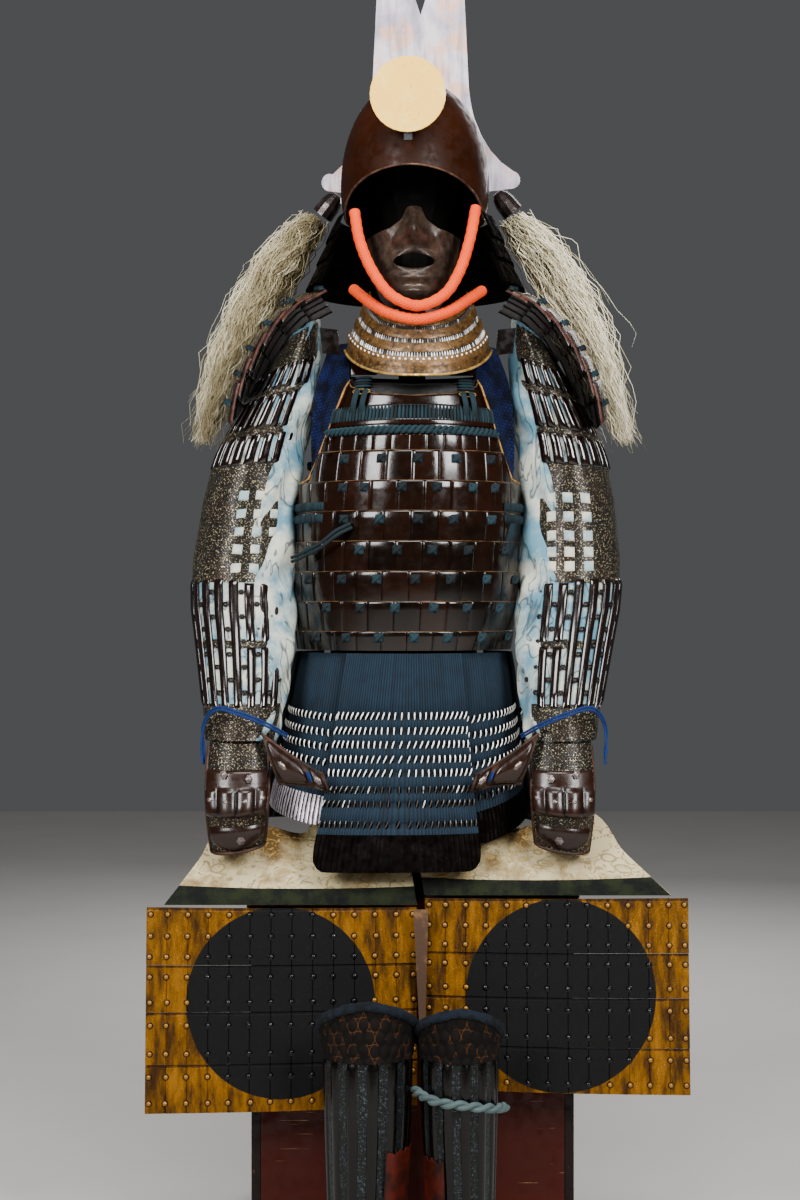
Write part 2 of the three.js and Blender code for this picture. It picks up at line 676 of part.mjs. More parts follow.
/** One half of the quilted vest: a band from the chest over the shoulder to the back. */
function buildVest(side, sign) {
  const at = (u, v) => {
    const x = lerp(along(VEST, 'in', v), along(VEST, 'out', v), u);
    const z = along(VEST, 'z', v) - 6 * u * u;
    const over = along(VEST, 'over', v);
    const across = Math.min(x / (between(CUIRASS, 'z', 'half', z) - 7), 0.97);
    const depth = between(CUIRASS, 'z', over > 0 ? 'front' : 'back', z) - 11;
    return new THREE.Vector3(lean(NECKLINE) + sign * x, -depth * over * Math.sqrt(1 - across ** 2), z);
  };
  add(`vest_${side}`, wall(at, 3, 10, CLOTH), MATERIAL.navyCloth);
}

// ---------- shoulder guards and sleeves ----------
/** A shoulder guard: six lames in one arc over the upper arm, each with its upper edge outside. */
function buildShoulderGuard(side, sign) {
  const lames = 6;
  const rows = [];
  for (let k = 0; k < lames; k += 1) {
    rows.push({ z: k / lames, out: k > 0 ? 6 : 1 }, { z: (k + 1) / lames - 0.012, out: 0.5 });
  }
  const surface = (u, f, out) => {
    const bow = 2 * u - 1;
    const x = along(SHOULDER_ARC, 'x', f) + out - 16 * bow * bow;
    const z = along(SHOULDER_ARC, 'z', f) + out * 0.6 - 14 * bow * bow;
    return new THREE.Vector3(6 + sign * x, lerp(-100, 112, u), z);
  };
  const at = (u, v) => {
    const row = rows[Math.round(v * (rows.length - 1))];
    return surface(u, row.z, row.out);
  };
  const smooth = (u, v) => surface(u, v, 0);
  add(`shoulder_guard_${side}`, steppedWall(at, smooth, rows, 5, IRON * sign), MATERIAL.brownLacquer);
}

/** Point of a sleeve: u round the arm, v from the shoulder to the wrist. */
function sleevePoint(sign, u, v) {
  const a = 2 * Math.PI * u;
  const get = (key) => along(SLEEVE, key, v);
  const across = get('half') * Math.cos(a);
  const tilt = rad(get('tilt'));
  const x = lean(get('z')) + sign * (get('out') + across * Math.cos(tilt));
  return new THREE.Vector3(x, get('y') - get('deep') * Math.sin(a), get('z') - across * Math.sin(tilt));
}

function buildSleeve(side, sign) {
  add(`sleeve_${side}`, wall((u, v) => sleevePoint(sign, u, v), 12, 9, CLOTH * sign, true), MATERIAL.paleCloth);
}

/** The plate over the back of the hand, open below, with a ridge at the knuckles. */
function buildHand(side, sign) {
  const centre = { x: -18 + sign * 229, y: -160, z: 669 };
  const at = (u, v) => {
    const a = rad(lerp(-82, 82, u));
    const reach = lerp(42, 46, Math.sin(v * Math.PI));
    const x = reach * Math.sin(a) * lerp(1, 0.9, v);
    const knuckle = 7 * Math.exp(-(((v - 0.62) / 0.14) ** 2));
    const y = -(24 + knuckle) * Math.cos(a) - 22 * Math.sin(v * Math.PI * 0.9);
    return new THREE.Vector3(centre.x + sign * x, centre.y + y, centre.z + lerp(70, -72, v) - 7 * Math.cos(a) * v);
  };
  add(`hand_plate_${side}`, wall(at, 7, 5, IRON * -sign), MATERIAL.darkIron);
  const thumb = (u, v) => {
    const a = rad(lerp(-75, 75, u));
    const wide = lerp(12, 36, (1 - v) ** 1.6);
    const x = centre.x - sign * lerp(46, 125, v) + sign * wide * Math.sin(a) * 0.35;
    const z = lerp(722, 688, v) + wide * Math.sin(a);
    return new THREE.Vector3(x, -184 - 10 * v - 13 * Math.cos(a) + 8 * v * v, z);
  };
  add(`thumb_plate_${side}`, wall(thumb, 6, 5, IRON * -sign), MATERIAL.darkIron);
}

// ---------- skirt ----------
/** Point of the skirt's flare at angle a, fraction f down from the waist, `out` outside. */
function skirtPoint(a, f, z, out) {
  const square = lerp(1, 0.72, f);
  const soften = (c) => Math.sign(c) * Math.abs(c) ** square;
  const half = lerp(152, 205, f) + out;
  const depth = Math.cos(a) > 0 ? lerp(120, 206, f) : lerp(110, 176, f);
  return new THREE.Vector3(lean(z) + half * soften(Math.sin(a)), -(depth + out) * soften(Math.cos(a)), z);
}

/** One hanging section: a stretch of lacing, then five lames that step outwards. */
function buildSkirt(row) {
  const flip = row.turn < 0 ? -1 : 1;
  const rows = [{ z: 0, out: 0 }, { z: 0.3, out: 0 }];
  for (let k = 0; k < 5; k += 1) {
    const from = 0.3 + 0.14 * k;
    rows.push({ z: from + 0.004, out: 2 }, { z: from + 0.136, out: 0.4 });
  }
  const surface = (u, f, out) => {
    const spread = lerp(row.top, row.foot, f);
    const a = rad(row.turn + lerp(-spread, spread, u));
    const foot = lerp(row.inner, row.outer, flip > 0 ? u : 1 - u);
    const z = lerp(SKIRT_TOP, foot, f);
    return skirtPoint(a, (SKIRT_TOP - z) / (SKIRT_TOP - 565), z, row.out + out);
  };
  const at = (u, v) => {
    const step = rows[Math.round(v * (rows.length - 1))];
    return surface(u, step.z, step.out);
  };
  const smooth = (u, v) => surface(u, v, 0);
  add(row.name, steppedWall(at, smooth, rows, 4, -IRON), MATERIAL.blueLace);
}

// ---------- thigh guards ----------
function buildWaistband() {
  const at = (u, v) => {
    const a = 2 * Math.PI * u;
    return new THREE.Vector3(lean(820) + 118 * Math.sin(a), 2 - 96 * Math.cos(a), lerp(836, 801, v));
  };
  add('thigh_waistband', wall(at, 20, 1, 3, true), MATERIAL.brocade);
}

function buildThighGuard(row) {
  const { side, sign, inner, width, top, foot, slope } = row;
  const cloth = (u, v) => {
    const hem = v ** 1.5;
    const seam = lerp(lean(820) + sign * 4, inner, hem);
    const edge = lerp(lean(820), sign * 7 + 7, hem) + sign * along(LAP_CLOTH, 'outer', v);
    const x = lerp(seam, edge, u);
    const lift = (top - 513) * v;
    const bend = along(LAP_CLOTH, 'rise', v) * u ** 3 - along(LAP_CLOTH, 'sag', v) * 4 * u * (1 - u);
    const z = along(LAP_CLOTH, 'z', v) + lift + bend;
    return new THREE.Vector3(x, along(LAP_CLOTH, 'y', v), z);
  };
  add(`thigh_cloth_${side}`, wall(cloth, 6, 9, -CLOTH * sign), MATERIAL.brocade);
  const rows = [];
  const heights = [0, 0.28, 0.51, 0.765, 1];
  for (let k = 0; k < 4; k += 1) {
    rows.push({ z: heights[k] + 0.004, out: 3.5 }, { z: heights[k + 1], out: 1 });
  }
  rows[0].z = 0;
  const surface = (u, f, out) => {
    const x = inner + sign * width * u;
    const z = lerp(top, foot, f) + slope * (0.5 - u) * f;
    const bow = 9 * Math.sin(Math.PI * u);
    return new THREE.Vector3(x, -188 - 22 * f - out - bow, z);
  };
  const at = (u, v) => {
    const step = rows[Math.round(v * (rows.length - 1))];
    return surface(u, step.z, step.out);
  };
  const smooth = (u, v) => surface(u, v, 0);
  const sheet = steppedWall(at, smooth, rows, 6, -2.5 * sign);
  add(`thigh_plates_${side}`, sheet, MATERIAL.goldLeaf);
}

/** The leather strip that hangs between the two thigh guards. */
function buildCentreStrip() {
  const shape = outline([[-11, 78], [10, 78], [6, -78], [-3, -78]]);
  const mesh = add('centre_strip', plate(shape, 2), MATERIAL.quiltedCloth);
  mesh.position.set(11.5, -216, 436);
}

// ---------- shin guards ----------
/** Point round a shin: wrapped in front and at the sides, open at the back. */
function shinPoint(sign, u, z, out) {
  const a = rad(lerp(-112, 112, u));
  const half = between(SHIN, 'z', 'half', z) * (sign < 0 ? 1 : RIGHT_SHIN) + out;
  const front = between(SHIN, 'z', 'front', z) + out;
  const x = sign * between(SHIN, 'z', 'x', z) + half * Math.sin(a);
  return new THREE.Vector3(x, -282 - front * Math.cos(a), z);
}

function buildShin(side, sign) {
  const splints = (u, v) => shinPoint(sign, u, lerp(334, 0, v), 0);
  add(`shin_guard_${side}`, wall(splints, 12, [0, 0.3, 0.6, 0.85, 1], -IRON), MATERIAL.darkIron);
  const knee = (u, v) => {
    const crown = lerp(409, 352, Math.abs(2 * u - 1) ** 1.6);
    const z = lerp(328, sign < 0 ? crown : crown - 9, v);
    return shinPoint(sign, u, z, 5 + 3 * Math.sin(v * Math.PI * 0.6));
  };
  add(`knee_pad_${side}`, wall(knee, 10, 3, 3.5), MATERIAL.quiltedCloth);
}

// ---------- ties ----------
function buildTies() {
  const rope = [[2, -300, 284], [14, -334, 283], [34, -350, 279], [62, -354, 276], [92, -350, 272],
    [112, -336, 268], [124, -304, 262]];
  add('shin_tie', cord(rope, 9, 13), MATERIAL.greenRope);
  const tie = [[-88, -130, 1052], [-108, -134, 1042], [-132, -124, 1024], [-160, -98, 1010], [-176, -80, 1004]];
  add('side_tie', cord(tie, 8, 8), MATERIAL.tealLace);
  for (const [side, sign] of [['left', -1], ['right', 1]]) {
    const x = sign < 0 ? -6 : -18;
    const wrist = [[x + sign * 172, -164, 752], [x + sign * 196, -190, 768], [x + sign * 236, -204, 786],
      [x + sign * 270, -190, 792], [x + sign * 290, -168, 768], [x + sign * 291, -164, 712]];
    add(`wrist_cord_${side}`, cord(wrist, 5, 13), MATERIAL.navyCloth);
  }
}

// ---------- the whole armour ----------
buildBox();
buildStand();
buildBowl();
buildCrest();
buildRearPlate();
NECK.forEach((row, i) => buildNeckLame(row, i + 1));
THROAT.forEach((row, i) => buildThroatLame(row, i + 1));
buildMask();
buildChinCord();
buildCuirass();
for (const [side, sign] of [['left', -1], ['right', 1]]) {
  buildHairSocket(side, sign);
  buildHair(side, sign);
  buildShoulderStrap(side, sign);
  buildShoulderTab(side, sign);
  buildVest(side, sign);
  buildShoulderGuard(side, sign);
  buildSleeve(side, sign);
  buildHand(side, sign);
  buildShin(side, sign);
}
SKIRTS.forEach(buildSkirt);
buildWaistband();
THIGH_SIDES.forEach(buildThighGuard);
buildCentreStrip();
buildTies();

// The origin is on the floor, under the middle of everything but the cords and ties.
const footprint = new THREE.Box3();
armour.traverse((mesh) => {
  if (mesh.isMesh && !/cord|tie$/.test(mesh.name)) footprint.expandByObject(mesh, true);
});
const middle = footprint.getCenter(new THREE.Vector3());
armour.position.set(-middle.x, -middle.y, -footprint.min.z);
const part = new THREE.Group();
part.add(armour);

export default part;
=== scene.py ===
"""A samurai armour on its storage box: the finish of every piece, built over its fixed frame.

Shapes are worked out in millimetres in the maker's own frame (+Z up, the front faces -Y) and moved
into the scene, in metres, by `settle`. Each new piece is a surface of two parameters on a grid, a
profile carried along a path, or one small shape repeated at many places.
"""

import bpy
import numpy as np
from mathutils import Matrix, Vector


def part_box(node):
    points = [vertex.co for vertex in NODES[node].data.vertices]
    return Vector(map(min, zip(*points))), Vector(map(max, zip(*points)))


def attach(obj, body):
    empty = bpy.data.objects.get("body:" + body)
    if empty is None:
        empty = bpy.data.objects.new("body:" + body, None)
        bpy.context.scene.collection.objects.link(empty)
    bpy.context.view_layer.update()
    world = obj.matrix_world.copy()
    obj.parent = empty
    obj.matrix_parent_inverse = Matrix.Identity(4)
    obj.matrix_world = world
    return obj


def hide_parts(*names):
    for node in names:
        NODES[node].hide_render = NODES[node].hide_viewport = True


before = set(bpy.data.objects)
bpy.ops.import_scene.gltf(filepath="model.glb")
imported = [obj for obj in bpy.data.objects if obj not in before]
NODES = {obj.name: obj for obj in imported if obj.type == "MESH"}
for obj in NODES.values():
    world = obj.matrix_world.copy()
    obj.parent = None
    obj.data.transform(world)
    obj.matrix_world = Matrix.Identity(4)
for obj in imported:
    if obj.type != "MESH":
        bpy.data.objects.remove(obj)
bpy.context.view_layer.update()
POST_LOW, POST_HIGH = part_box("stand_post")
SHIFT = np.array([(POST_LOW.x + POST_HIGH.x) / 2, POST_LOW.y, 0.0])
SIDES = (("left", -1), ("right", 1))
dice = np.random.default_rng(7)


# ---------- dimensions, in millimetres ----------
def columns(names, rows):
    """A table of named columns as one array for each name."""
    return dict(zip(names.split(), np.array(rows, float).T))


CUIRASS = columns("z half front back", [
    (865, 158, 126, 116), (960, 166, 137, 122), (1060, 167, 140, 122),
    (1120, 164, 138, 120), (1200, 150, 130, 118), (1300, 128, 112, 108)])
SIDE_EDGE = columns("z x", [
    (1108, 190), (1122, 148), (1150, 136), (1192, 121), (1228, 108), (1255, 98), (1267, 90)])
NECK_EDGE = columns("x z", [(0, 1240), (45, 1244), (78, 1256), (90, 1267)])
SLEEVE = columns("z out y half deep tilt", [
    (1345, 172, 10, 34, 46, 38), (1300, 184, 10, 44, 56, 22), (1245, 203, 8, 50, 60, 12),
    (1170, 229, 6, 60, 64, 6), (1095, 241, 2, 64, 66, 2), (1005, 247, -6, 69, 69, 0),
    (946, 246, -22, 70, 68, 0), (886, 238, -55, 66, 62, 0), (800, 229, -108, 57, 54, 0),
    (746, 228, -142, 49, 45, 0)])
# For each section: its middle in degrees, half its spread at the top and at the foot, how far it
# stands out, and the height of its inner and its outer corner.
SKIRTS = {
    "skirt_front": (0, 31, 27, 9, 564, 566),
    "skirt_front_left": (-57, 25, 32, 0, 624, 648),
    "skirt_front_right": (57, 25, 32, 0, 596, 640),
    "skirt_side_left": (-106, 24, 26, 9, 618, 606),
    "skirt_side_right": (106, 24, 26, 9, 612, 606),
    "skirt_back_left": (-155.5, 23, 23, 0, 600, 600),
    "skirt_back_right": (155.5, 23, 23, 0, 600, 600)}
LAP_CLOTH = columns("z y outer sag rise", [
    (800, -96, 112, 0, 0), (700, -104, 138, 0, 0), (645, -106, 138, 0, 0), (608, -110, 150, 12, 0),
    (598, -122, 256, 8, 34), (566, -150, 297, 6, 12), (545, -170, 323, 4, 2), (516, -184, 350, 0, 0)])
# Sign, inner edge, width, upper and lower edge, and slope.
THIGH_SIDES = {"left": (-1, 6, 380, 513, 235, 12), "right": (1, 17, 370, 526, 260, 10)}
FACE = columns("z half deep", [
    (1372, 34, 60), (1390, 50, 76), (1415, 60, 80), (1450, 66, 76), (1482, 70, 70), (1520, 70, 60)])
THROAT = [(1352, 74, 82, 26), (1333, 83.5, 92, 26), (1313, 93, 102, 27), (1292, 102.5, 112, 28)]
NECK = [(1517, 1480, 116, 134, 62), (1486, 1446, 127, 148, 58), (1452, 1408, 141, 164, 54)]
VEST = columns("z over in out", [
    (1118, 1, 108, 148), (1190, 1, 96, 151), (1262, 1, 92, 145), (1306, .62, 93, 132),
    (1328, 0, 93, 124), (1306, -.62, 93, 126), (1240, -1, 96, 138), (1150, -1, 100, 148)])
SHOULDER_ARC = columns("x z", [
    (140, 1404), (184, 1386), (222, 1350), (250, 1306), (270, 1262), (284, 1213)])
HAIR = columns("x y z wide deep", [
    (148, 62, 1528, 14, 12), (178, 70, 1494, 22, 17), (224, 74, 1424, 29, 20),
    (264, 76, 1344, 29, 20), (298, 72, 1260, 22, 17), (322, 66, 1186, 9, 8)])
SHIN = columns("z half front x", [
    (0, 44, 44, 66), (60, 45, 46, 66), (160, 51, 54, 64), (260, 56, 60, 62),
    (330, 57, 60, 62), (402, 57, 56, 62)])
# The cuirass's lames, the hips, and the line that the body leans along.
FIRST_LAME = 1161
LAME = 43.5
LAMES = 7
WAIST = 872
HIP = 565
MIDDLE_X = -23
LEAN = 0.0356
SKIRT_TOP = 868
CHEST_X = MIDDLE_X + (1240 - HIP) * LEAN
HELMET_TURN = np.radians(-4)
# The helmet's bowl: its crown, its widest height and how far it drops below that; half its width, its
# depth in front and behind, how full its curve is, and the arch that is open for the face.
CROWN = 1719
BELLY = 1560
BELLY_DROP = 130
BOWL_HALF = 111
BOWL_FRONT = 140
BOWL_BACK = 134
BOWL_ROUND = 0.86
ARCH_HALF = 103
ARCH_FOOT = 1512
ARCH_RISE = 56
# The mask's mouth and half its turn, the middle of the hands, the shins' half turn, the gold plates.
MOUTH = 1432
MASK_EDGE = 98
CENTRE_X = -18
HAND_OUT = 229
KNEE_TURN = 112
THIGH_COLUMNS = 13
THIGH_ROWS = (0, 0.28, 0.51, 0.765, 1)
# The camera.
EYE = (CENTRE_X, -3000, 945)
LENS = 60


# ---------- small tools ----------
def lean(z):
    """Centre line of the body: it leans a little above the hips."""
    return MIDDLE_X + np.maximum(z - HIP, 0) * LEAN


def lerp(a, b, t):
    """Straight run from a to b."""
    return a + (b - a) * t


def wave(x):
    """A soft hill of height 1 at 0 that fades away beyond 1: e to the minus x squared."""
    return np.exp(-x ** 2)


def between(table, by, key, t):
    """Column `key` at value t of column `by`, in straight runs."""
    order = np.argsort(table[by])
    return np.interp(t, table[by][order], table[key][order])


def along(table, key, f):
    """Column `key` at fraction f of the rows, smooth through every row."""
    column = table[key]
    last = len(column) - 1
    s = np.asarray(f, float) * last
    i = np.clip(np.floor(s).astype(int), 0, last - 1)
    t = s - i
    at = lambda k: column[np.clip(k, 0, last)]
    slope = lambda k: (at(k + 1) - at(k - 1)) / 2
    bend = t * (1 - t) * ((1 - t) * slope(i) - t * slope(i + 1))
    return lerp(at(i), at(i + 1), t * t * (3 - 2 * t)) + bend


def stack(x, y, z):
    """Three arrays as one array of points."""
    return np.stack(np.broadcast_arrays(x, y, z), -1).astype(float)


def unit(v):
    """Vectors at length 1."""
    return v / np.maximum(np.linalg.norm(v, axis=-1, keepdims=True), 1e-9)


def grid(across, up):
    """Two parameters on a grid: u across the columns, v down the rows."""
    us = np.linspace(0, 1, across + 1) if np.isscalar(across) else np.asarray(across, float)
    vs = np.linspace(0, 1, up + 1) if np.isscalar(up) else np.asarray(up, float)
    return np.meshgrid(us, vs)


def smooth_path(points, count):
    """A smooth line through given points, parted evenly along its length."""
    p = np.array(points, float)
    ends = np.vstack([2 * p[0] - p[1], p, 2 * p[-1] - p[-2]])
    knots = np.concatenate([[0], np.cumsum(np.sqrt(np.linalg.norm(np.diff(ends, axis=0), axis=1)))])
    t = np.linspace(knots[1], knots[-2], 40 * count)
    k = np.clip(np.searchsorted(knots, t, side="right") - 1, 1, len(p) - 1)

    def blend(a, b, i, j):
        share = ((t - knots[i]) / (knots[j] - knots[i]))[:, None]
        return a * (1 - share) + b * share

    a1 = blend(ends[k - 1], ends[k], k - 1, k)
    a2 = blend(ends[k], ends[k + 1], k, k + 1)
    a3 = blend(ends[k + 1], ends[k + 2], k + 1, k + 2)
    b1 = blend(a1, a2, k - 1, k + 1)
    b2 = blend(a2, a3, k, k + 2)
    line = blend(b1, b2, k, k + 1)
    reach = np.concatenate([[0], np.cumsum(np.linalg.norm(np.diff(line, axis=0), axis=1))])
    even = np.linspace(0, reach[-1], count)
    return np.stack([np.interp(even, reach, line[:, c]) for c in range(3)], -1)


class Form:
    """A mesh in the making: points, four- and three-cornered faces, a flat place in metres for each
    corner, and a tone from 0 to 1 for each point."""

    def __init__(self, points, quads=None, tris=None, quad_flat=None, tri_flat=None, tone=None):
        self.points = np.asarray(points, float).reshape(-1, 3)
        self.quads = np.zeros((0, 4), int) if quads is None else np.asarray(quads, int)
        self.tris = np.zeros((0, 3), int) if tris is None else np.asarray(tris, int)
        self.quad_flat = np.zeros((len(self.quads), 4, 2)) if quad_flat is None else quad_flat
        self.tri_flat = np.zeros((len(self.tris), 3, 2)) if tri_flat is None else tri_flat
        self.tone = np.full(len(self.points), 0.5) if tone is None else np.asarray(tone, float).ravel()

    def outward(self):
        """Turns every face over if the closed form's signed volume is negative."""
        middle = self.points.mean(0)
        corner = lambda f, k: self.points[f[:, k]] - middle
        size = lambda f, a, b, c: np.einsum("ij,ij->i", corner(f, a),
            np.cross(corner(f, b), corner(f, c))).sum()
        total = size(self.quads, 0, 1, 2) + size(self.quads, 0, 2, 3) + size(self.tris, 0, 1, 2)
        if total < 0:
            self.quads = self.quads[:, ::-1]
            self.quad_flat = self.quad_flat[:, ::-1]
            self.tris = self.tris[:, ::-1]
            self.tri_flat = self.tri_flat[:, ::-1]
        return self


def skin(at, u, v, out, back, **look):
    """A wall over the surface at(u, v, out), with its inner face `back` off it."""
    return wall(at(u, v, out), at(u, v, back + 0 * u), **look)


def join(forms):
    """Several forms as one."""
    starts = np.cumsum([0] + [len(f.points) for f in forms])
    return Form(
        np.concatenate([f.points for f in forms]),
        np.concatenate([f.quads + s for f, s in zip(forms, starts)]),
        np.concatenate([f.tris + s for f, s in zip(forms, starts)]),
        np.concatenate([f.quad_flat for f in forms]),
        np.concatenate([f.tri_flat for f in forms]),
        np.concatenate([f.tone for f in forms]))


def normals(at, ring=False):
    """Unit normals of a grid of points: its step across times its step down."""
    if ring:
        over = np.roll(at, -1, 1) - np.roll(at, 1, 1)
    else:
        over = np.gradient(at, axis=1)
    return unit(np.cross(over, np.gradient(at, axis=0)))


def wall(front, back, ring=False, flat=None, tone=None):
    """A closed sheet between two grids of points that share their edges' order."""
    rows, cols = front.shape[:2]
    count = rows * cols
    steps = cols if ring else cols - 1
    j, i = np.meshgrid(np.arange(rows - 1), np.arange(steps), indexing="ij")
    j, i = j.ravel(), i.ravel()
    place = lambda jj, ii: jj * cols + ii % cols
    faces = np.stack([place(j, i), place(j, i + 1), place(j + 1, i + 1), place(j + 1, i)], 1)
    if flat is None:
        step_u = np.linalg.norm(np.diff(front, axis=1), axis=2).mean(0)
        step_v = np.linalg.norm(np.diff(front, axis=0), axis=2).mean(1)
        across = np.concatenate([[0], np.cumsum(step_u)]) / 1000
        if ring:
            across = np.append(across, across[-1] + step_u.mean() / 1000)
        down = np.concatenate([[0], np.cumsum(step_v)]) / 1000
        flat = (across, down)
    spot = lambda jj, ii: np.stack([flat[0][ii], flat[1][jj]], -1)
    flats = np.stack([spot(j, i), spot(j, i + 1), spot(j + 1, i + 1), spot(j + 1, i)], 1)
    quads = [faces, faces[:, ::-1] + count]
    spots = [flats, flats[:, ::-1]]
    k = np.arange(steps)
    for row, turned in ((0, False), (rows - 1, True)):
        a, b = place(row, k), place(row, k + 1)
        rim = np.stack([a, a + count, b + count, b], 1)
        edge = np.stack([spot(row + 0 * k, k), spot(row + 0 * k, k), spot(row + 0 * k, k + 1),
            spot(row + 0 * k, k + 1)], 1)
        quads.append(rim[:, ::-1] if turned else rim)
        spots.append(edge[:, ::-1] if turned else edge)
    if not ring:
        k = np.arange(rows - 1)
        for col, turned in ((0, False), (cols - 1, True)):
            a, b = place(k, col + 0 * k), place(k + 1, col + 0 * k)
            rim = np.stack([a, b, b + count, a + count], 1)
            edge = np.stack([spot(k, col + 0 * k), spot(k + 1, col + 0 * k), spot(k + 1, col + 0 * k),
                spot(k, col + 0 * k)], 1)
            quads.append(rim[:, ::-1] if turned else rim)
            spots.append(edge[:, ::-1] if turned else edge)
    points = np.concatenate([front.reshape(-1, 3), back.reshape(-1, 3)])
    shade = None if tone is None else np.tile(np.broadcast_to(tone, (rows, cols)).ravel(), 2)
    return Form(points, np.concatenate(quads), None, np.concatenate(spots), None, shade).outward()


def leaf(at, thick, ring=False, flat=None, tone=None):
    """A closed sheet of even thickness behind a grid of points; below 0 it grows to the front."""
    return wall(at, at - normals(at, ring) * thick, ring, flat, tone)


def tube(path, radius, sides=8, spin=0.0, flatten=1.0, hint=(0.0, 0.05, 1.0), tone=None):
    """A round section carried along a path, closed at both ends. `radius` may change along it."""
    path = np.asarray(path, float)
    count = len(path)
    go = unit(np.gradient(path, axis=0))
    side = unit(np.cross(go, np.broadcast_to(np.array(hint, float), go.shape)))
    top = np.cross(side, go)
    a = 2 * np.pi * np.arange(sides) / sides + spin
    r = np.broadcast_to(radius, (count,))[:, None]
    ring = (path[:, None] + (r * np.cos(a))[..., None] * side[:, None]
        + (flatten * r * np.sin(a))[..., None] * top[:, None])
    reach = np.concatenate([[0], np.cumsum(np.linalg.norm(np.diff(path, axis=0), axis=1))]) / 1000
    girth = 2 * np.pi * np.max(r) / 1000 * np.arange(sides + 1) / sides
    j, i = (m.ravel() for m in np.meshgrid(np.arange(count - 1), np.arange(sides), indexing="ij"))
    place = lambda jj, ii: jj * sides + ii % sides
    quads = np.stack([place(j, i), place(j, i + 1), place(j + 1, i + 1), place(j + 1, i)], 1)
    spot = lambda jj, ii: np.stack([girth[ii], reach[jj]], -1)
    flats = np.stack([spot(j, i), spot(j, i + 1), spot(j + 1, i + 1), spot(j + 1, i)], 1)
    k = np.arange(sides)
    last = (count - 1) * sides
    foot, head = np.full(sides, count * sides), np.full(sides, count * sides + 1)
    tris = np.concatenate([
        np.stack([(k + 1) % sides, k, foot], 1), np.stack([last + k, last + (k + 1) % sides, head], 1)])
    points = np.concatenate([ring.reshape(-1, 3), path[:1], path[-1:]])
    shade = None if tone is None else np.full(len(points), float(tone))
    return Form(points, quads, tris, flats, np.zeros((len(tris), 3, 2)), shade).outward()


def lathe(profile, sides, lobes=0, lobe=0.0, shades=None):
    """A profile of (radius, height) turned about the local third axis, closed at both ends. With lobes
    its radius swells and shrinks round the turn, as a flower's does; shades is its tone by row."""
    profile = np.array(profile, float)
    a = 2 * np.pi * np.arange(sides) / sides
    swell = 1 + lobe * np.cos(lobes * a)
    r, h = profile[:, :1], profile[:, 1:]
    ring = stack(r * np.cos(a) * swell, r * np.sin(a) * swell, h + 0 * a)
    count = len(profile)
    j, i = (m.ravel() for m in np.meshgrid(np.arange(count - 1), np.arange(sides), indexing="ij"))
    place = lambda jj, ii: jj * sides + ii % sides
    quads = np.stack([place(j, i), place(j, i + 1), place(j + 1, i + 1), place(j + 1, i)], 1)
    k = np.arange(sides)
    last = (count - 1) * sides
    tris = np.concatenate([
        np.stack([(k + 1) % sides, k, np.full(sides, count * sides)], 1),
        np.stack([last + k, last + (k + 1) % sides, np.full(sides, count * sides + 1)], 1)])
    points = np.concatenate([ring.reshape(-1, 3), [[0, 0, profile[0, 1]]], [[0, 0, profile[-1, 1]]]])
    shades = np.full(count, 0.5) if shades is None else np.array(shades, float)
    tone = np.concatenate([np.repeat(shades, sides), shades[:1], shades[-1:]])
    return Form(points, quads, tris, tone=tone).outward()


def pillow(wide, high, thick, cells=(3, 3), crown=0.5):
    """A rounded plate: its face bulges and its edges roll back. Local axes: right, up, out."""
    u, v = grid(cells[0] + 2, cells[1] + 2)
    x, z = (2 * u - 1), (2 * v - 1)
    round_off = lambda t: np.sign(t) * (1 - (1 - np.abs(t)) ** 1.6)
    fall = np.maximum(np.abs(x), np.abs(z)) ** 4
    front = stack(round_off(x) * wide / 2, round_off(z) * high / 2,
        thick * (1 - 0.8 * fall - crown * 0.2 * (x ** 2 + z ** 2)))
    return wall(front, stack(front[..., 0], front[..., 1], 0 * x),
        flat=(u[0] * wide / 1000, v[:, 0] * high / 1000))


def repeat(base, origin, right, up, out, tone=None):
    """One small form at many places: each copy's three axes may be turned and stretched."""
    origin, right, up, out = (np.broadcast_to(a, (len(origin), 3)) for a in (origin, right, up, out))
    p = base.points
    points = (origin[:, None] + p[None, :, :1] * right[:, None] + p[None, :, 1:2] * up[:, None]
              + p[None, :, 2:] * out[:, None])
    count, many = len(p), len(origin)
    step = (np.arange(many) * count)[:, None, None]
    quads = (base.quads[None] + step).reshape(-1, 4)
    tris = (base.tris[None] + step).reshape(-1, 3)
    flip = np.einsum("ij,ij->i", np.cross(right, up), out) < 0
    quads = np.where(np.repeat(flip, len(base.quads))[:, None], quads[:, ::-1], quads)
    tris = np.where(np.repeat(flip, len(base.tris))[:, None], tris[:, ::-1], tris)
    shade = dice.random(many) if tone is None else np.broadcast_to(tone, (many,))
    shade = np.clip(np.repeat(shade, count) + np.tile(base.tone - 0.5, many), 0, 1)
    quad_flat, tri_flat = (np.tile(f, (many, 1, 1)) for f in (base.quad_flat, base.tri_flat))
    return Form(points, quads, tris, quad_flat, tri_flat, shade)


def some(form, base, chosen):
    """The chosen copies out of a form that `repeat` made."""
    count, faces, corners = len(base.points), len(base.quads), len(base.tris)
    order = np.cumsum(chosen) - 1 - np.arange(len(chosen))
    quads = (form.quads.reshape(-1, faces, 4) + (order * count)[:, None, None])[chosen].reshape(-1, 4)
    tris = (form.tris.reshape(-1, corners, 3) + (order * count)[:, None, None])[chosen].reshape(-1, 3)
    points = form.points.reshape(-1, count, 3)[chosen].reshape(-1, 3)
    return Form(points, quads, tris, tone=form.tone.reshape(-1, count)[chosen])


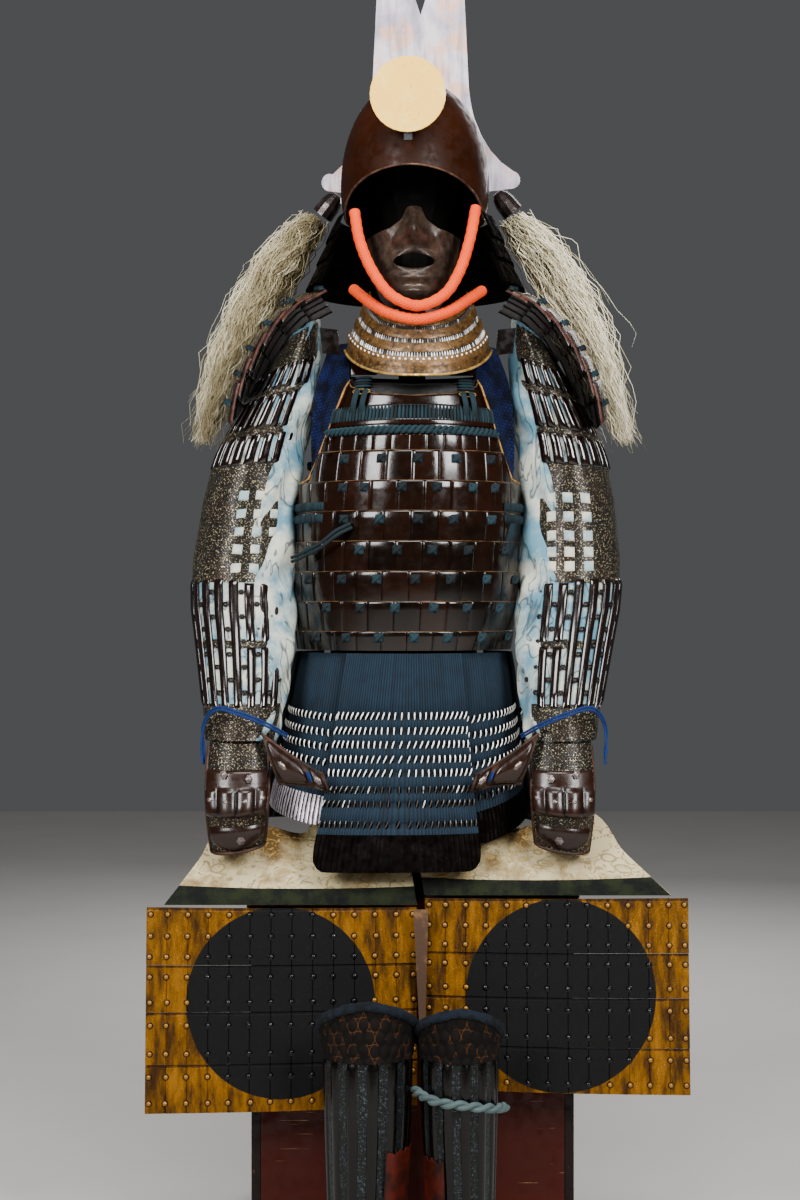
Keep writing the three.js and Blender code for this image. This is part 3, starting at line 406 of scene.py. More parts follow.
def stations(at, u, v, lift=0.0):
    """Where a surface at(u, v, out) stands, with its right, up and outward directions there."""
    e = 1e-3
    u, v = np.asarray(u, float).ravel(), np.asarray(v, float).ravel()
    none = 0 * u
    over = unit(at(u + e, v, none) - at(u - e, v, none))
    down = unit(at(u, v + e, none) - at(u, v - e, none))
    out = unit(np.cross(over, down))
    away = at(u, v, none + 1) - at(u, v, none)
    out = out * np.sign((out * away).sum(-1, keepdims=True))
    return at(u, v, none) + out * lift, over, -down, out


def settle(points, helmet=False):
    """From the maker's frame in millimetres to the scene in metres; the helmet is turned a little."""
    points = np.asarray(points, float)
    if helmet:
        c, s = np.cos(HELMET_TURN), np.sin(HELMET_TURN)
        turn = np.array([[c, -s, 0], [s, c, 0], [0, 0, 1]])
        points = points @ turn.T + np.array([4.5, 0, 0])
    return points / 1000 + SHIFT


def piece(name, form, finish, helmet=False, crease=40, replaces=()):
    """A form as one named mesh that rides with the body, its own flat places and tones kept on it."""
    mesh = bpy.data.meshes.new(name)
    points = settle(form.points, helmet)
    nq, nt = len(form.quads), len(form.tris)
    mesh.vertices.add(len(points))
    mesh.vertices.foreach_set("co", points.astype(np.float32).ravel())
    mesh.loops.add(4 * nq + 3 * nt)
    mesh.loops.foreach_set("vertex_index", np.concatenate([form.quads.ravel(),
        form.tris.ravel()]).astype(np.int32))
    mesh.polygons.add(nq + nt)
    starts = np.concatenate([4 * np.arange(nq), 4 * nq + 3 * np.arange(nt)])
    mesh.polygons.foreach_set("loop_start", starts.astype(np.int32))
    mesh.update(calc_edges=True)
    layer = mesh.uv_layers.new(name="flat")
    layer.data.foreach_set("uv", np.concatenate([form.quad_flat.ravel(),
        form.tri_flat.ravel()]).astype(np.float32))
    tone = mesh.attributes.new("tone", "FLOAT", "POINT")
    tone.data.foreach_set("value", form.tone.astype(np.float32))
    mesh.polygons.foreach_set("use_smooth", np.ones(nq + nt, bool))
    mesh.set_sharp_from_angle(angle=np.radians(crease))
    mesh.materials.append(finish.material)
    made = bpy.data.objects.new(name, mesh)
    bpy.context.scene.collection.objects.link(made)
    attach(made, "root")
    if replaces:
        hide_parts(*replaces)
    return made


def dress(node, finish):
    """Gives a fixed node its finish."""
    NODES[node].data.materials.clear()
    NODES[node].data.materials.append(finish.material)


# ---------- finishes ----------
def tint(code):
    """The linear colour of a six-digit code."""
    c = np.array([int(code[k:k + 2], 16) for k in (0, 2, 4)]) / 255
    return (*np.where(c <= 0.04045, c / 12.92, ((c + 0.055) / 1.055) ** 2.4), 1.0)


class Val:
    """A number that varies over a surface; arithmetic on it adds Math nodes."""

    def __init__(self, finish, socket):
        self.finish = finish
        self.socket = socket

    def math(self, operation, *values):
        """One Math node with this value and others as its inputs."""
        inputs = dict(enumerate(values))
        node = self.finish.node("ShaderNodeMath", {"operation": operation}, inputs)
        return Val(self.finish, node.outputs[0])

    def __add__(self, other):
        return self.math("ADD", self, other)

    def __sub__(self, other):
        return self.math("SUBTRACT", self, other)

    def __rsub__(self, other):
        return self.math("SUBTRACT", other, self)

    def __mul__(self, other):
        return self.math("MULTIPLY", self, other)

    def __truediv__(self, other):
        return self.math("DIVIDE", self, other)

    def __pow__(self, other):
        return self.math("POWER", self, other)

    __radd__ = __add__
    __rmul__ = __mul__

    def sin(self):
        return self.math("SINE", self)

    def abs(self):
        return self.math("ABSOLUTE", self)

    def part(self):
        """What is left above the whole number."""
        return self.math("FRACT", self)

    def least(self, other):
        return self.math("MINIMUM", self, other)

    def most(self, other):
        return self.math("MAXIMUM", self, other)

    def rise(self, low, high, to_low=0.0, to_high=1.0):
        """A soft step from to_low at low to to_high at high."""
        inputs = {"Value": self, "From Min": low, "From Max": high, "To Min": to_low, "To Max": to_high}
        node = self.finish.node("ShaderNodeMapRange", {"interpolation_type": "SMOOTHSTEP"}, inputs)
        return Val(self.finish, node.outputs[0])


class Finish:
    """One procedural finish: a surface shader and the nodes that feed it."""

    def __init__(self, name, constants=None):
        self.material = bpy.data.materials.new(name)
        self.material.use_nodes = True
        self.tree = self.material.node_tree
        self.surface = self.tree.nodes["Principled BSDF"]
        for key, value in (constants or {}).items():
            self.surface.inputs[key].default_value = value
        where = self.node("ShaderNodeTexCoord")
        self.place = where.outputs["Object"]
        self.flat = where.outputs["UV"]

    def node(self, kind, settings=None, inputs=None):
        """Adds one node: its settings first (a ramp's stops among them), then its values and links."""
        made = self.tree.nodes.new(kind)
        for key, value in (settings or {}).items():
            if key == "stops":
                ramp = made.color_ramp
                while len(ramp.elements) < len(value):
                    ramp.elements.new(0.5)
                for element, (spot, colour) in zip(ramp.elements, value):
                    element.position = spot
                    element.color = colour
            else:
                setattr(made, key, value)
        for key, value in (inputs or {}).items():
            socket = made.inputs[key]
            value = value.socket if isinstance(value, Val) else value
            if isinstance(value, bpy.types.NodeSocket):
                self.tree.links.new(value, socket)
            else:
                socket.default_value = value
        return made

    def feed(self, name, value):
        """Joins a value or colour to the surface shader."""
        self.tree.links.new(value.socket if isinstance(value, Val) else value, self.surface.inputs[name])
        return self

    def parts(self, vector):
        """The three numbers of a vector."""
        node = self.node("ShaderNodeSeparateXYZ", None, {0: vector})
        return [Val(self, s) for s in node.outputs]

    def scaled(self, vector, sizes):
        """A vector stretched along its axes."""
        return self.node("ShaderNodeVectorMath", {"operation": "MULTIPLY"},
            {0: vector, 1: sizes}).outputs[0]

    def noise(self, sizes, detail=3.0, rough=0.55, at=None, warp=0.0):
        """Clouds with `sizes` of them to a metre along each axis."""
        sizes = (sizes,) * 3 if np.isscalar(sizes) else sizes
        vector = self.scaled(at or self.place, sizes)
        inputs = {"Vector": vector, "Scale": 1.0, "Detail": detail, "Roughness": rough, "Distortion": warp}
        return Val(self, self.node("ShaderNodeTexNoise", None, inputs).outputs[0])

    def cells(self, sizes, feature="F1", at=None, output="Distance", random=1.0):
        """Cells with `sizes` of them to a metre along each axis."""
        sizes = (sizes,) * 3 if np.isscalar(sizes) else sizes
        vector = self.scaled(at or self.place, sizes)
        inputs = {"Vector": vector, "Scale": 1.0, "Randomness": random}
        return Val(self, self.node("ShaderNodeTexVoronoi", {"feature": feature}, inputs).outputs[output])

    def tone(self):
        """The tone kept on the piece's points."""
        return Val(self, self.node("ShaderNodeAttribute", {"attribute_name": "tone"}).outputs["Fac"])

    def ramp(self, value, stops):
        """A colour that runs through (place, code) stops as the value rises."""
        stops = [(spot, tint(code)) for spot, code in stops]
        return self.node("ShaderNodeValToRGB", {"stops": stops}, {0: value}).outputs[0]

    def mix(self, factor, a, b, how="MIX"):
        """Colour a, or b where the factor is 1."""
        a, b = (tint(c) if isinstance(c, str) else c for c in (a, b))
        settings = {"data_type": "RGBA", "blend_type": how, "clamp_factor": True}
        return self.node("ShaderNodeMix", settings, {0: factor, 6: a, 7: b}).outputs[2]

    def bump(self, height, depth_mm, strength=1.0, under=None):
        """Raises the surface by `height` times a depth in millimetres."""
        inputs = {"Height": height, "Distance": depth_mm / 1000, "Strength": strength}
        if under is not None:
            inputs["Normal"] = under
        made = self.node("ShaderNodeBump", None, inputs).outputs[0]
        self.tree.links.new(made, self.surface.inputs["Normal"])
        return made


def lacquer(name, dark, warm, rough=0.2, coat=0.5, streak=(30, 30, 30), wear=0.15, scratch=None, shine=0.4):
    """Polished lacquer: dark to warm by tone and cloud, faintly rubbed, with a clear coat; `scratch`
    adds pale scratches along one way."""
    f = Finish(name, {"Coat Weight": coat, "Coat Roughness": 0.1, "Specular IOR Level": shine})
    cloud = f.noise(streak, 4)
    shade = (f.tone() * 0.75 + cloud * 0.5 - 0.1).rise(0.15, 1.0)
    fine = f.noise((900, 900, 220), 2)
    colour = f.mix(fine.rise(0.64, 0.8) * wear, f.mix(shade, dark, warm), "6a4a34")
    if scratch:
        mark = f.noise(scratch, 3, 0.6).rise(0.66, 0.72) * f.noise(9, 2).rise(0.42, 0.6)
        colour = f.mix(mark, colour, "c89a68")
    f.feed("Base Color", colour)
    f.feed("Roughness", f.noise(70, 5).rise(0.3, 0.75, rough * 0.7, rough * 1.7))
    f.bump(cloud * 0.6 + fine * 0.25, 0.3)
    return f


def metal(name, low, high, rough, metallic, scale=90, dent=0.3, specks=None, by_tone=0.3, shine=0.4):
    """Worked metal: two colours in clouds and by tone, small pits, uneven polish."""
    f = Finish(name, {"Metallic": metallic, "Specular IOR Level": shine})
    cloud = f.noise(scale, 5, 0.65)
    pits = f.cells(420)
    colour = f.mix((cloud + f.tone() * by_tone - by_tone / 2).rise(0.3, 0.75), low, high)
    if specks:
        colour = f.mix(f.noise(260, 4, 0.7).rise(0.6, 0.72), colour, specks)
    f.feed("Base Color", colour)
    f.feed("Roughness", cloud.rise(0.25, 0.8, rough * 1.25, rough * 0.75))
    f.bump(cloud + pits.rise(0.1, 0.4) * 0.3, dent)
    return f


def lace(name, dark, light, pitch=2.6, depth=0.35, rough=0.85, by_tone=0.6):
    """Braided silk lacing: slanting strands cross along the piece's own length; dark where the tone
    is low; on the skirt a low tone is painted shade in the furrows between laces."""
    f = Finish(name, {"Roughness": rough, "Specular IOR Level": 0.3})
    across, along_it, _ = f.parts(f.scaled(f.flat, (1000 / pitch, 1000 / pitch, 1)))
    one = ((across + along_it) * 3.1416).sin().abs()
    two = ((across - along_it) * 3.1416).sin().abs()
    braid = one.most(two)
    fuzz = f.noise(1500, 2)
    shade = (braid * 0.3 + fuzz * 0.25 + f.tone() * by_tone - by_tone * 0.2).rise(0.1, 0.95)
    f.feed("Base Color", f.mix(f.noise(60, 3).rise(0.4, 0.7) * 0.3, f.mix(shade, dark, light), dark))
    f.bump(braid + fuzz * 0.3, depth)
    return f


def mail_finish(name, low, high, glint, size=6.4, rust="6a4420"):
    """Riveted mail: two staggered fields of rings; the rings are worn iron and the gaps are dark."""
    f = Finish(name, {"Metallic": 0.4})
    x, y, _ = f.parts(f.scaled(f.flat, (1000 / size, 1000 / size, 1)))
    wobble = f.noise(120, 1) * 0.3

    def ring(shift):
        a = (x + shift + wobble).part() - 0.5
        b = (y + shift).part() - 0.5
        return (((a * a + b * b) ** 0.5) - 0.3).abs().rise(0.17, 0.05)

    links = ring(0.0).most(ring(0.5))
    iron = f.mix(f.noise(240, 3, 0.7).rise(0.42, 0.58), low, high)
    iron = f.mix(f.noise(20, 3).rise(0.5, 0.64) * 0.8, iron, rust)
    # Spots of the glint colour: painted glints.
    iron = f.mix(f.noise(380, 2).rise(0.56, 0.63), iron, glint)
    f.feed("Base Color", f.mix(links, "030202", iron))
    f.feed("Roughness", links.rise(0, 1, 0.8, 0.32))
    f.bump(links, 1.3)
    return f


def cloth(name, low, high, weave=0.7, rough=0.9, cloud=18, depth=0.25, crease=None):
    """Plain woven cloth: two threads cross every `weave` millimetres, over clouds of dye; `crease` is
    the colour of painted shade in thin folds."""
    f = Finish(name, {"Roughness": rough, "Specular IOR Level": 0.3})
    x, y, _ = f.parts(f.scaled(f.flat, (1000 / weave, 1000 / weave, 1)))
    threads = (x * 6.283).sin() * (y * 6.283).sin()
    dye = f.noise(cloud, 5, 0.65)
    colour = f.mix(dye.rise(0.38, 0.62), low, high)
    if crease:
        # Thin dark fold lines: painted shade in creases.
        fold = (f.noise((22, 22, 9), 2, warp=1.2) - 0.5).abs().rise(0.03, 0.0)
        colour = f.mix(fold * 0.8, colour, crease)
    f.feed("Base Color", f.mix(threads.rise(-1, 1) * 0.2, colour, low))
    f.bump(threads * 0.4 + dye, depth)
    return f


def quilt(name, low, high, line, size=5.4, depth=0.9, thread=None):
    """Hexagon quilting: small domes in a staggered field, parted by stitched furrows; a gold thread
    shows along some of the furrows."""
    f = Finish(name, {"Roughness": 0.9, "Specular IOR Level": 0.15})
    x, y, _ = f.parts(f.scaled(f.flat, (1000 / size, 1000 / (size * 1.732), 1)))

    def dome(shift):
        a = (x + shift).part() - 0.5
        b = ((y + shift).part() - 0.5) * 1.732
        return (a * a + b * b) ** 0.5

    far = dome(0.0).least(dome(0.5))
    swell = far.rise(0.56, 0.1)
    colour = f.mix(f.noise(45, 4).rise(0.35, 0.7), low, high)
    colour = f.mix(far.rise(0.36, 0.52), colour, line)
    if thread:
        shown = (far - 0.47).abs().rise(0.028, 0.008) * f.noise(46, 1).rise(0.5, 0.56)
        colour = f.mix(shown, colour, thread)
    f.feed("Base Color", colour)
    f.bump(swell + f.noise(900, 2) * 0.25, depth)
    return f


def make_finishes():
    """Every finish of the armour, by name."""
    made = {
        "plate": lacquer("plate_lacquer", "050200", "220d04", 0.15, 0.35, (26, 26, 60), shine=0.3),
        "helmet": lacquer("helmet_lacquer", "120500", "381706", 0.42, 0.0, (9, 9, 22), 0.1, shine=0.12),
        "guard": lacquer("guard_lacquer", "070301", "200d07", 0.26, 0.25, shine=0.25),
        "splint": lacquer("splint_lacquer", "050201", "1c0c06", 0.12, 0.9, wear=0.3),
        "glove": lacquer("glove_lacquer", "090401", "26120a", 0.26, 0.2, shine=0.3),
        "shin_splint": lacquer("shin_splint_lacquer", "030302", "0a0807", 0.2, 0.15, shine=0.2),
        "black": lacquer("black_lacquer", "020100", "050302", 0.6, 0.0, shine=0.03),
        "box": lacquer("box_lacquer", "3a0a01", "842206", 0.45, 0.0, (5, 5, 60), scratch=(9, 9, 330),
            shine=0.2),
        "frame": lacquer("box_frame_lacquer", "080402", "1c0c06", 0.45, 0.0, scratch=(120, 120, 60),
            shine=0.2),
        "iron": metal("mask_iron", "1c120d", "4a3b30", 0.34, 0.3, 70, 0.5),
        "dark_iron": metal("dark_iron", "0c0807", "2a211c", 0.34, 0.5, 110, 0.3),
        "rivets": metal("rivets", "100802", "8a5e1c", 0.3, 0.4, 200, 0.2, by_tone=1.6),
        "black_rivets": metal("black_rivets", "020202", "0b0b0e", 0.2, 0.0, 200, 0.2, shine=0.3),
        "stud": metal("stud_gold", "8a6426", "e8c070", 0.3, 0.6, 120, 0.2),
        "disc": metal("disc_gold", "ffc850", "ffea98", 0.36, 0.0, 26, 0.2, "b87420", shine=0.5),
        "gilt": metal("gilt_lame", "140c04", "6e4e28", 0.36, 0.35, 130, 0.4, "b8a070", by_tone=0.7),
        "brass": metal("brass", "6e5228", "c9aa6a", 0.3, 0.8, 120, 0.2),
        # Pale crests; on the skirt's scale heads they are painted highlights.
        "tick": metal("scale_crest", "3c3834", "fffcf6", 0.28, 0.1, 120, 0.1, by_tone=1.2),
        "mail": mail_finish("iron_mail", "080502", "241d14", "9c9070", 4.6, "2a180a"),
        "shin_mail": mail_finish("shin_mail", "020303", "0e1214", "4c585c", 4.2, "06080a"),
        "blue": lace("blue_lacing", "01040a", "0d2434", 2.2),
        "teal": lace("teal_lacing", "040a0e", "163038", 2.4),
        "side": lace("side_lacing", "030a0c", "10242a", 2.6),
        "navy_cord": lace("navy_cord", "020a20", "0e3070", 2.2),
        "orange": lace("orange_cord", "d82c00", "ff5c00", 5.0, 0.9, 0.7, 0.4),
        "rope": lace("twisted_rope", "10171a", "5a6c6c", 2.0, 0.4),
        "pale": cloth("dyed_cloth", "6898ac", "e6e4d0", 0.9, 0.9, 13, 0.6, "1c2c34"),
        "window": cloth("window_cloth", "9ab4b8", "e8e0c4", 0.9, 0.9, 24, 0.5),
        "navy": quilt("navy_quilting", "040818", "101c48", "010208", 6.0),
        "knee": quilt("knee_quilting", "060302", "100a06", "020101", 15.0, 2.2, "4e2e10"),
        "leather": metal("leather", "160a04", "42220e", 0.55, 0.0, 60, 0.5, shine=0.3),
        "black_leather": metal("black_leather", "020202", "0a0807", 0.45, 0.0, 90, 0.4, shine=0.2),
        "rim": metal("rim_leather", "7a5026", "c8964e", 0.45, 0.1, 80, 0.2),
        # Lighter lines along the lames' and the neckline's rolled edges: painted highlights.
        "edge_highlight": metal("painted_edge_highlight", "1c1006", "80603e", 0.3, 0.2, 60, 0.2),
        "hem_left": metal("silvered_hem", "060505", "cfc6cf", 0.28, 0.3, 160, 0.5, by_tone=1.8),
        "rim_line": metal("rim_line", "2a1810", "6e4e3c", 0.35, 0.3, 90, 0.2),
        "steel": metal("grey_steel", "3a3c40", "6c7076", 0.35, 0.6, 120, 0.2),
        "socket": metal("socket_iron", "2c2422", "7d706c", 0.26, 0.6, 60, 0.3),
        "pink_edge": metal("rolled_edge", "2a120c", "6a4034", 0.3, 0.2, 80, 0.2),
        "strip": metal("strip_leather", "3a2412", "8f6a3c", 0.6, 0.0, 40, 0.5),
        "green": cloth("green_border", "030603", "20280f", 0.8, 0.8, 34, 0.6),
        "band": cloth("band_cloth", "8d7a58", "c9b78e", 0.9, 0.9, 30),
        "red_leather": metal("red_leather", "140401", "4c1406", 0.5, 0.0, 40, 0.5, shine=0.2),
        "fuzz": cloth("fuzzy_edge", "03060a", "0e1c2c", 1.2, 0.95, 90, 1.0),
        # Near-black wood for the stand: painted shade, as only shade shows inside the helmet.
        "painted_shade_wood": metal("wood_in_painted_shade", "040302", "0c0805", 0.7, 0.0, 60, 0.4, shine=0.1),
    }
    made["silver"] = patina()
    made["brocade"] = brocade()
    made["hair"] = hair_finish()
    made["thigh"] = {side: thigh_leaf(side) for side, _ in SIDES}
    return made


def patina():
    """Silvered plate gone dull: pale grey with pink and lilac clouds and upright streaks."""
    f = Finish("silver_leaf", {"Metallic": 0.1, "Specular IOR Level": 0.35})
    cloud = f.noise((16, 16, 11), 5, 0.6)
    streak = f.noise((90, 90, 9), 3)
    colour = f.ramp(cloud, [(0.3, "8c8e9a"), (0.45, "c4b8c6"), (0.55, "dccfd6"), (0.7, "d4a4a0")])
    colour = f.mix(f.noise(23, 4).rise(0.52, 0.66) * 0.8, colour, "e8b090")
    colour = f.mix(streak.rise(0.46, 0.66) * 0.5, colour, "7c7f8c")
    f.feed("Base Color", colour)
    f.feed("Roughness", cloud.rise(0.3, 0.7, 0.35, 0.55))
    f.bump(cloud + streak * 0.4, 0.3)
    return f


def brocade():
    """Cream brocade: thin scrolls are drawn on a pale ground, with gold-brown stains in large clouds
    and a dotted line of stitches above the border."""
    f = Finish("cream_brocade", {"Roughness": 0.72, "Specular IOR Level": 0.35})
    lines = (f.noise(30, 2, 0.4, warp=2.4) * 4).part()
    scroll = (lines - 0.5).abs().rise(0.09, 0.03)
    curls = (f.cells(46, at=f.flat) - 0.34).abs().rise(0.06, 0.02) * f.noise(14, 1).rise(0.45, 0.55)
    drawn = scroll.most(curls)
    stain = f.noise(9, 5, 0.65).rise(0.44, 0.64)
    ground = f.mix(stain, "c8b88e", "664818")
    x, y, _ = f.parts(f.scaled(f.flat, (1000, 1000, 1)))
    rib = (y * 6.283).sin()
    colour = f.mix(drawn * 0.75, ground, f.mix(stain, "80683c", "c8a860"))
    stitch = (y - 292).abs().rise(1.0, 0.5) * (x * 1.6).sin().rise(0.0, 0.3)
    colour = f.mix(stitch * 0.7, colour, "4a3a1c")
    f.feed("Base Color", f.mix(rib.rise(-1, 1) * 0.1, colour, "5a4824"))
    f.bump(drawn * -0.6 + rib * 0.1 + f.noise(40, 3) * 1.2, 1.0)
    return f


def hair_finish():
    """Bleached hair: each strand has its own tone, cream to grey with olive lowlights."""
    f = Finish("bleached_hair", {"Roughness": 0.5, "Specular IOR Level": 0.4})
    stops = [(0.0, "1e180c"), (0.28, "5c5034"), (0.5, "948664"), (0.75, "c8bc98"), (1.0, "eee6cc")]
    f.feed("Base Color", f.ramp(f.tone() + f.noise(60, 2) * 0.3 - 0.15, stops))
    f.bump(f.noise((900, 900, 120), 2), 0.2)
    return f


# Across, height and radius of the disc on each side.
DISC_MARKS = {"left": (-185, 383, 132), "right": (207, 393, 133)}


def thigh_leaf(side):
    """Gold leaf on riveted plates with one large black disc painted over it."""
    f = metal("thigh_leaf_" + side, "2e1a04", "8a5a0e", 0.36, 0.3, (70, 70, 16), 0.6, "2a1804", 0.25,
        shine=0.15)
    gold = f.surface.inputs["Base Color"].links[0].from_socket
    rough = f.surface.inputs["Roughness"].links[0].from_socket
    across, high, reach = DISC_MARKS[side]
    centre = settle([[across, 0, high]])[0]
    x, _, z = f.parts(f.place)
    a, b = x - float(centre[0]), z - float(centre[2])
    far = (a * a + b * b) ** 0.5 + f.noise(40, 3) * 0.002
    disc = far.rise(reach / 1000 + 0.0016, reach / 1000 + 0.0004)
    f.feed("Base Color", f.mix(disc, gold, f.mix(f.noise(120, 4).rise(0.5, 0.75), "010101", "050506")))
    f.feed("Metallic", disc.rise(0, 1, 0.35, 0.0))
    f.feed("Roughness", f.mix(disc, rough, (0.62, 0.62, 0.62, 1)))
    return f


# ---------- cuirass ----------
def trunk(a, z, out):
    """Trunk at angle a from the front: sine across by the half width, cosine by the depth."""
    front = np.cos(a) > 0
    depth = np.where(front, between(CUIRASS, "z", "front", z), between(CUIRASS, "z", "back", z)) + out
    x = lean(z) + (between(CUIRASS, "z", "half", z) + out) * np.sin(a)
    return stack(x, -depth * np.cos(a), z)


def chest_reach(z):
    """Widest angle of the chest at height z, where its side edge curves in to the arm."""
    share = np.interp(z, SIDE_EDGE["z"], SIDE_EDGE["x"]) / between(CUIRASS, "z", "half", z)
    return np.minimum(np.radians(88.5), np.arcsin(np.minimum(share, 0.9997)))


def back_reach(z):
    """Widest angle of the back at height z."""
    share = np.interp(z, [1108, 1126, 1205, 1276], [190, 146, 118, 98]) / between(CUIRASS, "z", "half", z)
    return np.minimum(np.radians(88.5), np.arcsin(np.minimum(share, 0.9997)))


def lame_at(k):
    """The upper and the lower edge of lame k below the chest."""
    top = FIRST_LAME - LAME * k
    return top, max(top - LAME - 1.2, WAIST)


PLATE_CUTS = np.array([0, 0.03, 0.1, 0.35, 0.65, 0.9, 0.97])
PLATE_LAP = np.array([-0.9, -0.2, 0.15, 0.5, 0.75, 0.95, 0.6])
LAME_FALL = np.array([0, 0.03, 0.08, 0.3, 0.65, 1.0])
LAME_OUT = np.array([0.6, 2.3, 2.9, 2.6, 2.1, 1.2])


def plate_row(top, foot, count, shift, reach, lit=0.5, turn=0.0):
    """One lame of `count` plates: each laps the next a little sideways; the upper edge is rolled out.
    The joints stand upright, and where the reach is short the armhole cuts the plates off."""
    cells = (np.arange(count)[:, None] + PLATE_CUTS[None]).ravel()
    lap = np.append(np.tile(PLATE_LAP, count), -0.9)
    u = np.append(cells, count) / count
    u = (u - 0.5) * (count + 1) / count + shift / count
    keep = np.concatenate([[-0.5], u[(u > -0.498) & (u < 0.498)], [0.5]])
    lap = np.interp(keep, u, lap)
    owner = np.floor((keep - shift / count) * count * count / (count + 1) + 0.5 * count)
    # `lit` is the lame's painted light; each plate's tone varies at random about it.
    shades = lit + dice.normal(0, 0.09, count + 6) + 0.14 * (dice.random(count + 6) > 0.82)
    tones = np.clip(shades, 0, 1)[np.clip(owner.astype(int) + 2, 0, count + 5)]
    share, v = np.meshgrid(2 * keep, LAME_FALL)
    z = lerp(top, foot, v)
    far = reach(np.array(float(foot)))
    limit = reach(z) - 0.02
    a = np.abs(share) * far
    a = np.where(a <= limit, a, limit + 0.02 * (a - limit) / np.maximum(far - limit, 1e-6)) * np.sign(share)
    out = np.interp(v, LAME_FALL, LAME_OUT) + lap[None]
    flat = (np.concatenate([[0], np.cumsum(np.diff(2 * keep) * 0.2)]),
        (top - lerp(top, foot, LAME_FALL)) / 1000)
    return skin(trunk, a + turn, z, out, -1.6, flat=flat, tone=tones[None])


def strand(wide, high, thick, sides=6, rings=5):
    """One short lace: a round strand with drawn-in ends. Local axes: right, up, out."""
    s = np.linspace(-1, 1, rings)
    radius = wide / 2 * (1 - np.abs(s) ** 6 * 0.55)
    return tube(stack(0 * s, s * high / 2, thick * 0.4 - 0.3 * thick * s ** 4), radius, sides,
        hint=(0, 0.02, 1))


def crossed_knot(size):
    """A lace knot: two pairs of strands crossed over a small pad."""
    s = np.linspace(-1, 1, 5)
    arm = lambda k, lift: tube(
        stack(s * size * 0.33, k * s * size * 0.33, lift + size * 0.12 * (1 - s ** 4)),
        size * 0.2 * (1 - 0.35 * np.abs(s) ** 5), 6, hint=(0, 0.02, 1))
    pad = pillow(size * 0.92, size * 0.88, size * 0.26, (2, 2))
    return join([pad, arm(1, 0.1 * size), arm(-1, 0.2 * size)])


# The height of each row of knots, with its knots in degrees from the front.
KNOT_ROWS = [
    (1148, (-36.3, -15.2, 3.6, 23.5, 45.7)),
    (1107, (-35.3, -23.1, -4.0, 13.6, 32.9, 47.2)),
    (1061, (-33.4, -14.3, 4.5, 22.3, 44.9)),
    (1017, (-58.1, -24.3, -5.3, 12.0, 30.9, 56.8)),
    (975, (-57.3, -33.6, -14.8, 4.1, 22.0, 43.1, 69.5)),
    (934, (-43.4, -23.1, -5.4, 13.9, 32.1, 54.7)),
    (891, (-52.1, -31.3, -13.3, 4.8, 22.4, 43.2, 68.1))]


def build_cuirass():
    """The breast: a chest plate over lacing, a braid, and seven lames of small lapped plates, each with a
    lighter line along its upper edge as a painted highlight and a tone that is lighter above and darker
    below as painted light and shade; the back has the same lames."""
    rows = [plate_row(1184, 1160.5, 13, 0.35, chest_reach, 0.5)]
    lines = []
    s = np.linspace(-1, 1, 90)
    for k in range(LAMES):
        top, foot = lame_at(k)
        # Painted light: the upper lames get a lighter tone and the lower ones a darker tone as painted
        # shade.
        lit = (0.5, 0.52, 0.42, 0.34, 0.3, 0.24, 0.2)[k]
        rows.append(plate_row(top, foot, 14, 0.5 * (k % 2) + 0.1, chest_reach, lit))
        a = s * (chest_reach(np.array(top - 1.0)) - 0.012)
        for way in (a, np.pi + s * (back_reach(np.array(top - 1.0)) - 0.02)):
            # A lighter line along each lame's upper edge, front and back: a painted highlight.
            lines.append(tube(trunk(way, top - 0.6 + 0 * s, 2.2 + 0 * s), 0.55, 5))
    u, v = grid(26, 3)
    z = lerp(1229, 1180, v)
    a = (2 * u - 1) * chest_reach(z)
    under = leaf(trunk(a, z - 6 * (1 - np.cos(a)), -0.4 + 0 * u), 2)
    under.tone[:] = 0.1
    strip_u, strip_v = grid(40, 2)
    z = lerp(1204.5, 1198, strip_v)
    a = (2 * strip_u - 1) * 0.97 * chest_reach(z)
    strip = leaf(trunk(a, z - 6 * (1 - np.cos(a)), 1.6 + 0.9 * np.sin(np.pi * strip_v)), 2)
    strip.tone[:] = 0.6
    piece("cuirass_chest", join([chest_plate(), under, strip]), FINISH["plate"], crease=50,
          replaces=["cuirass_front"])
    piece("cuirass_lames", join(rows), FINISH["plate"], crease=50)
    piece("cuirass_edge_highlights", join(lines), FINISH["edge_highlight"])
    back_rows = [plate_row(1288, 1161, 13, 0.2, back_reach, 0.3, np.pi)]
    for k in range(LAMES):
        top, foot = lame_at(k)
        back_rows.append(plate_row(top, foot, 13, 0.5 * (k % 2), back_reach, 0.3, np.pi))
    piece("cuirass_back_lames", join(back_rows), FINISH["plate"], crease=50,
          replaces=["cuirass_back"])
    build_chest_trim()
    build_knots()


def chest_point(u, v, out):
    """The chest above the lacing: across by the side edge's reach, up to the scooped neckline."""
    neck = np.interp(np.abs(u) * 90, NECK_EDGE["x"], NECK_EDGE["z"])
    z = lerp(1225 - 6 * u * u, neck, v)
    a = u * chest_reach(np.minimum(z, 1267))
    return trunk(a, z, out)


def chest_plate():
    """The chest plate: swells a little, its upper edge turned out."""
    u, v = grid(36, [0, 0.06, 0.16, 0.4, 0.7, 0.88, 0.96, 1.0])
    u = 2 * u - 1
    out = 1.4 + 1.4 * np.minimum(v / 0.16, 1) ** 0.5 + 1.6 * np.maximum(v - 0.85, 0) / 0.15
    out = out - 1.6 * np.abs(u) ** 12
    return skin(chest_point, u, v, out, -1.6, tone=0.5 + 0 * u)


